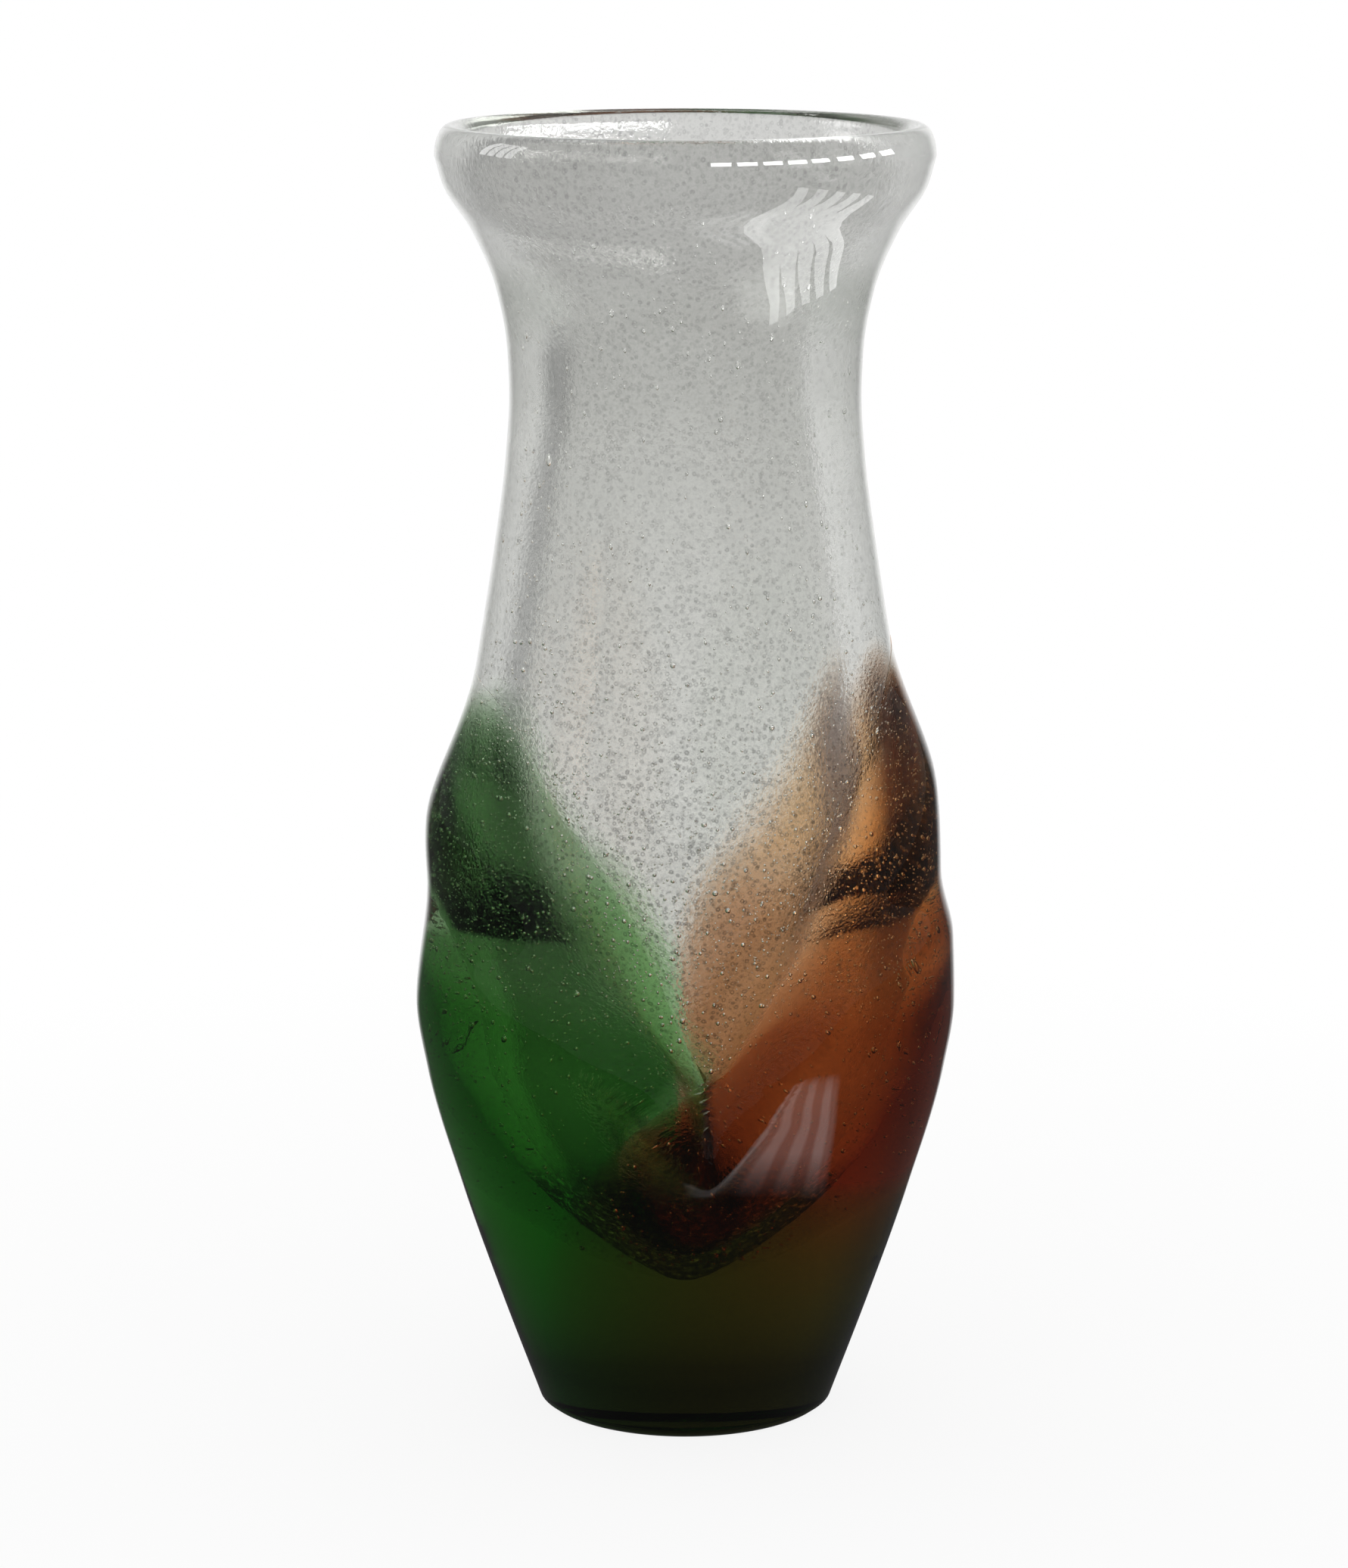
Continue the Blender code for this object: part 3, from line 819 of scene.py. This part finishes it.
def loft_casing(name, casing, low_film, side):
    """Loft one casing between the rows of its outer and inner faces.

    Light passes its fused faces straight on. Those on the vessel are given as 1, and
    carry how strong the film, the denser side and the painted shade low down are at
    each corner. The seam and the petal's edge are given as 2, and carry none of these.
    """
    shell = bmesh.new()
    fused = shell.faces.layers.float.new("fused")
    film = shell.loops.layers.float.new("film")
    dense_side = shell.loops.layers.float.new("dense_side")
    specks_and_shade = shell.loops.layers.float.new("specks_and_shade")
    known = {}

    def vertex(point):
        key = tuple(round(value / WELD_GAP, 3) for value in point)
        if key not in known:
            known[key] = shell.verts.new(point)
        return known[key]

    outer = []
    inner = []
    deep = {}
    dense = {}
    for i in range(CASING_COLUMNS + 1):
        share = i / CASING_COLUMNS
        rows = casing.heights(share)
        fade = FILM_FADE + (TIP_FADE - FILM_FADE) * smooth_step(
            casing.reach(share) / TIP_FADE_SHARE)
        for wall, radius_at in (
                (outer, casing.outer_radius), (inner, casing.inner_radius)):
            wall.append([
                vertex(casing.place(share, radius_at(share, z), z)) for z in rows])
        for v, z in zip(inner[-1], rows):
            low = low_film + (1 - low_film) * smooth_step(
                (z - FILM_LOW_HEIGHT) / (FILM_FULL_HEIGHT - FILM_LOW_HEIGHT))
            deep[v] = smooth_step((rows[0] - z) / fade) ** FILM_EASE * low
            dense[v] = side * smooth_step((180 * share - SIDE_START) / SIDE_REACH)
            dense[v] *= smooth_step((SIDE_END - 180 * share) / SIDE_REACH)
            dense[v] *= smooth_step((rows[0] - z) / TIP_FADE)
            dense[v] *= smooth_step((z - FILM_LOW_HEIGHT) / SIDE_RISE)

    def face(is_fused, *corners):
        ring = [v for v, after in zip(corners, corners[1:] + corners[:1]) if v != after]
        if len(ring) > 2:
            made = shell.faces.new(ring)
            made.smooth = True
            made[fused] = min(is_fused, 1.0)
            for loop in made.loops:
                loop[film] = deep[loop.vert] if is_fused == 1.0 else 0.0
                loop[dense_side] = dense[loop.vert] if is_fused == 1.0 else 0.0
                # Painted shade: grey specks darken the fused faces under the vessel's
                # bottom
                low = smooth_step((LOW_SHADE_HEIGHT - loop.vert.co.z) / LOW_SHADE_REACH)
                loop[specks_and_shade] = low if is_fused == 1.0 else 0.0

    last = len(outer[0]) - 1
    for i in range(CASING_COLUMNS):
        for j in range(last):
            face(0.0, outer[i][j], outer[i + 1][j], outer[i + 1][j + 1],
                 outer[i][j + 1])
            face(1.0, inner[i][j + 1], inner[i + 1][j + 1], inner[i + 1][j],
                 inner[i][j])
        face(2.0, inner[i][0], inner[i + 1][0], outer[i + 1][0], outer[i][0])
    for i in (0, CASING_COLUMNS):
        for j in range(last):
            face(2.0, outer[i][j], outer[i][j + 1], inner[i][j + 1], inner[i][j])
    shell.faces.new([column[last] for column in outer] + [inner[0][last]])
    bmesh.ops.recalc_face_normals(shell, faces=shell.faces[:])
    mesh = bpy.data.meshes.new(name)
    shell.to_mesh(mesh)
    shell.free()
    return link_mesh(name, mesh)


class VaseSizes(bpy.types.PropertyGroup):
    """Main sizes of the vase."""

    height: bpy.props.FloatProperty(
        name="Height", description="Height of the whole vase",
        default=VASE_TOP, unit="LENGTH")
    lip_radius: bpy.props.FloatProperty(
        name="Lip radius", description="Outer radius of the rolled lip",
        default=0.0530, unit="LENGTH")
    neck_radius: bpy.props.FloatProperty(
        name="Neck radius", description="Outer radius where the neck is narrowest",
        default=0.03755, unit="LENGTH")
    throat_radius: bpy.props.FloatProperty(
        name="Throat radius", description="Inner radius where the neck is narrowest",
        default=0.0257, unit="LENGTH")
    cup_radius: bpy.props.FloatProperty(
        name="Cup radius", description="Outer radius of the vessel under the casings",
        default=0.0519, unit="LENGTH")
    cavity_radius: bpy.props.FloatProperty(
        name="Cavity radius", description="Widest inner radius of the vessel",
        default=0.0393, unit="LENGTH")
    belly_radius: bpy.props.FloatProperty(
        name="Belly radius", description="Widest radius of the casings",
        default=0.0588, unit="LENGTH")
    base_radius: bpy.props.FloatProperty(
        name="Base radius", description="Radius of the flat base",
        default=0.0320, unit="LENGTH")
    petal_thickness: bpy.props.FloatProperty(
        name="Petal thickness", description="Thickness of the casings above the bulge",
        default=0.0041, unit="LENGTH")


class VaseGlass(bpy.types.PropertyGroup):
    """Colours of the glasses and numbers of bubbles."""

    seeded_light: bpy.props.FloatVectorProperty(
        name="Seeded, clear", description="Tint of the clear glass between its seeds",
        default=linear("#f4f4f2"), size=3, subtype="COLOR")
    # Tint of the seeds' flecks, and of the painted shade towards the top
    seeded_fleck_and_top_shade: bpy.props.FloatVectorProperty(
        name="Seeded, fleck", description="Tint of the clear glass at its seeds",
        default=linear("#969695"), size=3, subtype="COLOR")
    skin: bpy.props.FloatVectorProperty(
        name="Skin", description="Tint of every outer face",
        default=linear("#fafaf8"), size=3, subtype="COLOR")
    # Painted shade: darker tints of the casings' outer faces at the base
    green_base_painted_shade: bpy.props.FloatVectorProperty(
        name="Green base", description="Tint of the green outer face at the base",
        default=linear("#4c484c"), size=3, subtype="COLOR")
    amber_base_painted_shade: bpy.props.FloatVectorProperty(
        name="Amber base", description="Tint of the amber outer face at the base",
        default=linear("#424a50"), size=3, subtype="COLOR")
    # Grey specks of painted shade low down, also sprinkled through the film
    specks_and_shade: bpy.props.FloatVectorProperty(
        name="Ash", description="Fine ash caught under the vessel's rounded bottom",
        default=linear("#a4a69f"), size=3, subtype="COLOR")
    amber_side: bpy.props.FloatVectorProperty(
        name="Amber side", description="Densest amber, on the right of the vase",
        default=linear("#663c2a"), size=3, subtype="COLOR")
    green_film: bpy.props.FloatVectorProperty(
        name="Green film", description="Dense green layer next to the vessel",
        default=linear("#9eb998"), size=3, subtype="COLOR")
    amber_film: bpy.props.FloatVectorProperty(
        name="Amber film", description="Dense amber layer next to the vessel",
        default=linear("#f8ce9c"), size=3, subtype="COLOR")
    bubble_skin: bpy.props.FloatVectorProperty(
        name="Bubble skin", description="Tint of a bubble's dull skin",
        default=linear("#f0f0ee"), size=3, subtype="COLOR")
    seeded_loss: bpy.props.FloatVectorProperty(
        name="Seeded loss", description="Light lost per metre of seeded glass",
        default=(8.0, 7.6, 8.4), size=3)
    green_loss: bpy.props.FloatVectorProperty(
        name="Green loss", description="Light lost per metre of green glass",
        default=(60.0, 30.0, 68.0), size=3)
    amber_loss: bpy.props.FloatVectorProperty(
        name="Amber loss", description="Light lost per metre of amber glass",
        default=(22.0, 48.0, 74.0), size=3)
    seeds: bpy.props.IntProperty(
        name="Seeds", description="Number of the smallest bubbles", default=9000)
    fine_bubbles: bpy.props.IntProperty(
        name="Fine bubbles", description="Number of fine bubbles", default=2200)
    large_bubbles: bpy.props.IntProperty(
        name="Large bubbles", description="Number of large bubbles", default=220)


class VaseStudio(bpy.types.PropertyGroup):
    """Floor, light and camera."""

    window_strength: bpy.props.FloatProperty(
        name="Window", description="Brightness of the panes on the right", default=22.0)
    blind_strength: bpy.props.FloatProperty(
        name="Blind", description="Brightness of the blind on the left", default=5.0)
    door_strength: bpy.props.FloatProperty(
        name="Door", description="Brightness of the glass door by the floor",
        default=3.6)


def shape_from_panel():
    """Return the vase's shape for the sizes in the panel."""
    return VaseShape(bpy.context.scene.vase_sizes)


class VASE_OT_vessel(bpy.types.Operator):
    """Make the seeded vessel: a thick turned wall with a rolled lip"""

    bl_idname = "vase.vessel"
    bl_label = "Seeded Vessel"

    def execute(self, context):
        shape = shape_from_panel()
        outline = shape.outline()
        mesh = bpy.data.meshes.new("blown_vessel")
        edges = [(i, i + 1) for i in range(len(outline) - 1)]
        mesh.from_pydata([(r, 0.0, z) for r, z in outline], edges, [])
        vessel = link_mesh("blown_vessel", mesh)
        bpy.ops.object.mode_set(mode="EDIT")
        bpy.ops.mesh.select_all(action="SELECT")
        bpy.ops.mesh.spin(
            steps=TURN_STEPS, angle=2 * math.pi, center=(0, 0, 0), axis=(0, 0, 1))
        bpy.ops.mesh.select_all(action="SELECT")
        bpy.ops.mesh.remove_doubles(threshold=SAME_POINT)
        bpy.ops.mesh.normals_make_consistent(inside=False)
        bpy.ops.object.mode_set(mode="OBJECT")
        bpy.ops.object.shade_smooth()
        casings = two_casings(shape)
        cover = mesh.attributes.new("cover_mm", "FLOAT", "POINT")
        outside = mesh.attributes.new("outside", "FLOAT", "POINT")
        for point, depth, skin in zip(mesh.vertices, cover.data, outside.data):
            at = point.co
            radius = math.hypot(at.x, at.y)
            wall = (shape.vessel(at.z) + shape.cavity(at.z)) / 2
            is_outside = radius > wall or at.z < CAVITY_FLOOR
            skin.value = float(is_outside)
            depth.value = cover_depth(casings, at) if is_outside else NOT_COVERED
        mesh.materials.append(seeded_glass(context.scene.vase_glass))
        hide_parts("seeded_vessel")
        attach(vessel, "root")
        return {"FINISHED"}


class VASE_OT_casings(bpy.types.Operator):
    """Make the green and the amber gathers that case the vessel low down"""

    bl_idname = "vase.casings"
    bl_label = "Green and Amber Casings"

    def execute(self, context):
        shape = shape_from_panel()
        glass = context.scene.vase_glass
        green, amber = two_casings(shape)
        # Each casing's base tint is painted shade at the bottom of its outer faces
        for name, casing, lost, film, dense, base, low_film, side in (
                ("green", green, glass.green_loss, glass.green_film,
                 glass.green_film, glass.green_base_painted_shade, 0.0, 0.0),
                ("amber", amber, glass.amber_loss, glass.amber_film,
                 glass.amber_side, glass.amber_base_painted_shade, AMBER_LOW_FILM, 1.0)):
            piece = loft_casing(name + "_gather", casing, low_film, side)
            bpy.ops.object.shade_smooth_by_angle(angle=EDGE_ANGLE)
            piece.data.materials.append(
                cased_glass(name + "_cased_glass", lost, film, dense, glass.specks_and_shade,
                            glass.skin, base))
            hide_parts(name + "_casing")
            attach(piece, "root")
        return {"FINISHED"}


class VASE_OT_bubbles(bpy.types.Operator):
    """Scatter the air bubbles through the wall of the vessel"""

    bl_idname = "vase.bubbles"
    bl_label = "Bubbles"

    def execute(self, context):
        shape = shape_from_panel()
        glass = context.scene.vase_glass
        draw = random.Random(7)
        material = bubble_air(glass.bubble_skin)
        for name, rounds, smallest, largest in BUBBLE_KINDS:
            deselect_all()
            bpy.ops.mesh.primitive_ico_sphere_add(subdivisions=rounds, radius=0.5)
            one = bpy.context.object
            corners = [v.co.copy() for v in one.data.vertices]
            sides = [tuple(f.vertices) for f in one.data.polygons]
            bpy.data.objects.remove(one)
            points = []
            faces = []
            while len(faces) < getattr(glass, name) * len(sides):
                z = self.draw_height(draw)
                across = (smallest + (largest - smallest) * draw.random() ** 2) * MM
                inside = shape.cavity(z) if z > CAVITY_FLOOR else 0.0
                low = inside + across * BUBBLE_CLEARANCE
                high = shape.vessel(z) - across * BUBBLE_CLEARANCE
                turn = draw.uniform(0, 2 * math.pi)
                depth = draw.random()
                drawn = smooth_step((z - DRAWN_OUT_HEIGHT) / DRAWN_OUT_REACH)
                tall = 1 + DRAWN_OUT * drawn * draw.random()
                if high <= low:
                    continue
                radius = low + (high - low) * depth
                at = Vector((radius * math.sin(turn), -radius * math.cos(turn), z))
                start = len(points)
                points += [
                    at + Vector((c.x, c.y, c.z * tall)) * across for c in corners]
                faces += [tuple(start + i for i in side) for side in sides]
            mesh = bpy.data.meshes.new(name)
            mesh.from_pydata(points, [], faces)
            piece = link_mesh(name, mesh)
            bpy.ops.object.shade_smooth()
            mesh.materials.append(material)
            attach(piece, "root")
        return {"FINISHED"}

    def draw_height(self, draw):
        """Draw a height: most bubbles lie in the shoulder, over the casings' edge."""
        lowest = CUP_BOTTOM + BUBBLE_RISE
        if draw.random() < SHOULDER_BUBBLE_SHARE:
            z = draw.gauss(SHOULDER_BUBBLE_HEIGHT, SHOULDER_BUBBLE_SPREAD)
            return min(max(z, lowest), SHOULDER_BUBBLE_TOP)
        return draw.uniform(lowest, HIGHEST_BUBBLE)


class VASE_OT_studio(bpy.types.Operator):
    """Lay the pale floor, light the room and set up the camera"""

    bl_idname = "vase.studio"
    bl_label = "Studio"

    def execute(self, context):
        studio = context.scene.vase_studio
        scene = context.scene
        scene.view_settings.view_transform = "Standard"
        scene.cycles.max_bounces = BOUNCES
        scene.cycles.transparent_max_bounces = BOUNCES
        scene.cycles.transmission_bounces = GLASS_BOUNCES
        scene.cycles.glossy_bounces = GLASS_BOUNCES
        deselect_all()
        bpy.ops.mesh.primitive_circle_add(
            vertices=96, radius=FLOOR_RADIUS, fill_type="NGON",
            location=(0, 0, -FLOOR_DROP))
        floor = bpy.context.object
        floor.name = "floor"
        bpy.ops.object.transform_apply(location=True, rotation=True, scale=True)
        floor.data.materials.append(self.floor_paint())
        self.room()
        self.window(studio)
        self.camera()
        return {"FINISHED"}

    def floor_paint(self):
        """Matt white paint that keeps the vase's shadow and fades to pure white."""
        material, node = new_material("matt_white_paint")
        path = node("ShaderNodeLightPath").outputs
        seen = path["Is Camera Ray"]
        for kind in ("Is Glossy Ray", "Is Transmission Ray"):
            seen = node(
                "ShaderNodeMath", {0: seen, 1: path[kind]},
                operation="MAXIMUM").outputs[0]
        place = node("ShaderNodeTexCoord").outputs["Object"]
        away = node("ShaderNodeVectorMath", {0: place}, operation="LENGTH")
        share = node(
            "ShaderNodeMapRange",
            {"Value": away.outputs["Value"], "From Min": FLOOR_EDGES[0],
             "From Max": FLOOR_EDGES[1], "To Min": FLOOR_WHITE, "To Max": 1.0})
        share = node(
            "ShaderNodeMath", {0: share.outputs[0], 1: seen}, operation="MULTIPLY")
        mirrored = self.mirrored(node)
        share = node(
            "ShaderNodeMath", {0: share.outputs[0], 1: mirrored}, operation="MAXIMUM")
        way = node("ShaderNodeVectorMath", {0: place}, operation="NORMALIZE").outputs[0]
        sunlit = node(
            "ShaderNodeMath",
            {0: self.brightest(node, way, MIRRORED_RAMP),
             1: self.sunlit(node, place, away.outputs["Value"])}, operation="ADD")
        level = node(
            "ShaderNodeMix",
            {"Factor": mirrored, "A": self.shaded_left(node, way),
             "B": sunlit.outputs[0]})
        paint = node("ShaderNodeBsdfDiffuse", {"Color": (*linear("#ebebeb"), 1.0)})
        white = node(
            "ShaderNodeEmission",
            {"Color": (1.0, 1.0, 1.0, 1.0), "Strength": level.outputs[0]})
        both = node(
            "ShaderNodeMixShader",
            {0: share.outputs[0], 1: paint.outputs[0], 2: white.outputs[0]})
        node("ShaderNodeOutputMaterial", {"Surface": both.outputs[0]})
        return material

    def mirrored(self, node):
        """Return 1 for light that an outer face of the vase reflects to the eye."""
        path = node("ShaderNodeLightPath").outputs
        first = node(
            "ShaderNodeMath", {0: path["Ray Depth"], 1: FIRST_BOUNCE},
            operation="LESS_THAN")
        return node(
            "ShaderNodeMath", {0: first.outputs[0], 1: path["Is Glossy Ray"]},
            operation="MULTIPLY").outputs[0]

    def sunlit(self, node, place, away):
        """Return how bright the floor is where the window's light falls on it."""
        parts = node("ShaderNodeSeparateXYZ", {0: place}).outputs
        slant = node(
            "ShaderNodeMath", {0: parts["X"], 1: PATCH_SLANT, 2: parts["Y"]},
            operation="MULTIPLY_ADD").outputs[0]
        wave = node(
            "ShaderNodeMath", {0: slant, 1: 2 * math.pi / PATCH_STRIPE},
            operation="MULTIPLY")
        wave = node("ShaderNodeMath", {0: wave.outputs[0]}, operation="SINE")
        level = node(
            "ShaderNodeMapRange",
            {"Value": wave.outputs[0], "From Min": -0.5, "From Max": 0.5,
             "To Min": PATCH_DIMMEST, "To Max": PATCH_BRIGHTEST}).outputs[0]
        soft = (PATCH_END - PATCH_START) * PATCH_SOFT_SHARE
        for across, low, high in (
                (slant, PATCH_START, PATCH_START + soft),
                (slant, PATCH_END, PATCH_END - soft),
                (away, PATCH_NEAR, PATCH_NEAR * PATCH_NEAR_SOFT),
                (away, PATCH_FAR, PATCH_FAR * PATCH_FAR_SOFT), (parts["X"], 0.0, soft)):
            edge = node(
                "ShaderNodeMapRange",
                {"Value": across, "From Min": low, "From Max": high})
            level = node(
                "ShaderNodeMath", {0: level, 1: edge.outputs[0]},
                operation="MULTIPLY").outputs[0]
        return level

    def brightest(self, node, way, *ramps):
        """Return the brightest of some ramps in one direction."""
        parts = node("ShaderNodeSeparateXYZ", {0: way}).outputs
        level = 0.0
        for axis, start, end, low, high in ramps:
            ramp = node(
                "ShaderNodeMapRange",
                {"Value": parts[axis], "From Min": start, "From Max": end,
                 "To Min": low, "To Max": high}, interpolation_type="SMOOTHSTEP")
            level = node(
                "ShaderNodeMath", {0: level, 1: ramp.outputs[0]},
                operation="MAXIMUM").outputs[0]
        return level

    def shaded_left(self, node, way):
        """Return the share of light that reaches the inside of the glass."""
        path = node("ShaderNodeLightPath").outputs
        return node(
            "ShaderNodeMix",
            {"Factor": path["Is Transmission Ray"], "A": 1.0,
             "B": self.brightest(node, way, LEFT_RAMP)}).outputs[0]

    def walls(self, node, way):
        """Return the brightness of the room in one direction.

        It is pale before and behind the vase, overhead and at the horizon, and dim
        at its sides. The outer faces reflect a dim room with a pale strip behind.
        """
        level = node(
            "ShaderNodeMath",
            {0: self.brightest(node, way, *ROOM_RAMPS), 1: self.shaded_left(node, way)},
            operation="MULTIPLY")
        level = node(
            "ShaderNodeMix",
            {"Factor": self.mirrored(node), "A": level.outputs[0],
             "B": self.brightest(node, way, MIRRORED_RAMP)})
        path = node("ShaderNodeLightPath").outputs
        level = node(
            "ShaderNodeMix",
            {"Factor": path["Is Camera Ray"], "A": level.outputs[0], "B": 1.0})
        return level.outputs[0]

    def room(self):
        """Light the room, and put a pale dome in it for glass to show."""
        world = bpy.data.worlds.new("pale_room")
        bpy.context.scene.world = world
        world.use_nodes = True
        world.node_tree.nodes.clear()
        node = functools.partial(add_node, world.node_tree)
        way = node("ShaderNodeTexCoord").outputs["Generated"]
        white = node(
            "ShaderNodeBackground",
            {"Color": (1.0, 1.0, 1.0, 1.0), "Strength": self.walls(node, way)})
        node("ShaderNodeOutputWorld", {"Surface": white.outputs[0]})

        deselect_all()
        bpy.ops.mesh.primitive_ico_sphere_add(subdivisions=4, radius=FLOOR_RADIUS)
        dome = bpy.context.object
        dome.name = "dome"
        bpy.ops.object.shade_smooth()
        dome.visible_diffuse = False
        dome.visible_shadow = False
        material, node = new_material("matt_backdrop_paper")
        place = node("ShaderNodeTexCoord").outputs["Object"]
        way = node("ShaderNodeVectorMath", {0: place}, operation="NORMALIZE").outputs[0]
        lit = node(
            "ShaderNodeMath", {0: self.walls(node, way), 1: PAPER_GLOW},
            operation="SUBTRACT")
        glow = node(
            "ShaderNodeEmission",
            {"Color": (1.0, 1.0, 1.0, 1.0), "Strength": lit.outputs[0]})
        paper = node("ShaderNodeBsdfDiffuse", {"Color": (PAPER, PAPER, PAPER, 1.0)})
        both = node("ShaderNodeAddShader", {0: glow.outputs[0], 1: paper.outputs[0]})
        node("ShaderNodeOutputMaterial", {"Surface": both.outputs[0]})
        material.cycles.emission_sampling = "NONE"
        dome.data.materials.append(material)

    def window(self, studio):
        """A row of window panes on the right and a pale blind on the left.

        They show only as highlights on the clear glass, because the room itself
        lights the vase.
        """
        panes = [self.pane_place(*pane, strength)
                 for group, strength in ((WINDOW_PANES, studio.window_strength),
                                         (BLIND_STRIPS, studio.blind_strength))
                 for pane in group]
        middle = (DOOR_NEAR + DOOR_FAR) / 2
        for turn in DOOR_TURNS:
            side = math.radians(turn)
            panes.append((
                Vector((math.sin(side) * middle, -math.cos(side) * middle, 0.0)),
                (math.pi, 0.0, math.radians(turn - 90)), DOOR_FAR - DOOR_NEAR,
                middle * math.radians(DOOR_PANE), studio.door_strength))
        shown_on = bpy.data.collections.new("shows_window")
        shown_on.objects.link(bpy.data.objects["blown_vessel"])
        for i, (at, turned, wide, tall, strength) in enumerate(panes):
            deselect_all()
            bpy.ops.object.light_add(type="AREA", location=at, rotation=turned)
            pane = bpy.context.object
            pane.name = "window_pane_%d" % (i + 1)
            pane.visible_diffuse = False
            pane.visible_transmission = False
            pane.light_linking.receiver_collection = shown_on
            pane.data.shape = "RECTANGLE"
            pane.data.size = wide
            pane.data.size_y = tall
            pane.data.energy = strength * math.pi * wide * tall

    def pane_place(self, turn, rise, wide, tall, strength):
        """Return the place, turn, width, height and brightness of a pane in a wall."""
        turn = math.radians(turn)
        rise = math.radians(rise)
        way = Vector((math.sin(turn) * math.cos(rise),
                      -math.cos(turn) * math.cos(rise), math.sin(rise)))
        return (way * PANE_DISTANCE + Vector((0, 0, VASE_TOP / 2)),
                way.to_track_quat("Z", "Y").to_euler(),
                2 * PANE_DISTANCE * math.tan(math.radians(wide / 2)),
                2 * PANE_DISTANCE * math.tan(math.radians(tall / 2)), strength)

    def camera(self):
        """A long lens at the photograph's height, distance and tilt."""
        deselect_all()
        bpy.ops.object.camera_add(
            location=(0, -CAMERA_DISTANCE, CAMERA_HEIGHT),
            rotation=(math.radians(90 - CAMERA_PITCH), 0, 0))
        camera = bpy.context.object
        camera.name = "camera"
        camera.data.lens = CAMERA_LENS
        camera.data.shift_x = -AXIS_OFFSET / max(PHOTO_WIDTH, PHOTO_HEIGHT)
        bpy.context.scene.camera = camera


class VASE_PT_panel(bpy.types.Panel):
    """Sizes, glasses and studio of the vase"""

    bl_idname = "VASE_PT_panel"
    bl_label = "Art Glass Vase"
    bl_space_type = "VIEW_3D"
    bl_region_type = "UI"
    bl_category = "Vase"

    def draw(self, context):
        for group in (context.scene.vase_sizes, context.scene.vase_glass,
                      context.scene.vase_studio):
            box = self.layout.box()
            for name in group.bl_rna.properties.keys():
                if name not in ("rna_type", "name"):
                    box.prop(group, name)
        for operator in OPERATORS:
            self.layout.operator(operator.bl_idname)


OPERATORS = (VASE_OT_vessel, VASE_OT_casings, VASE_OT_bubbles, VASE_OT_studio)
GROUPS = (VaseSizes, VaseGlass, VaseStudio)


def register():
    """Register the classes and hang the settings on the scene."""
    for cls in GROUPS + OPERATORS + (VASE_PT_panel,):
        bpy.utils.register_class(cls)
    bpy.types.Scene.vase_sizes = bpy.props.PointerProperty(type=VaseSizes)
    bpy.types.Scene.vase_glass = bpy.props.PointerProperty(type=VaseGlass)
    bpy.types.Scene.vase_studio = bpy.props.PointerProperty(type=VaseStudio)


def unregister():
    """Take the settings and the classes away again."""
    del bpy.types.Scene.vase_studio
    del bpy.types.Scene.vase_glass
    del bpy.types.Scene.vase_sizes
    for cls in (VASE_PT_panel,) + OPERATORS[::-1] + GROUPS[::-1]:
        bpy.utils.unregister_class(cls)


def main():
    """Make the whole scene."""
    register()
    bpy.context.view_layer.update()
    bpy.ops.vase.vessel()
    bpy.ops.vase.casings()
    bpy.ops.vase.bubbles()
    bpy.ops.vase.studio()


if __name__ == "__main__":
    main()
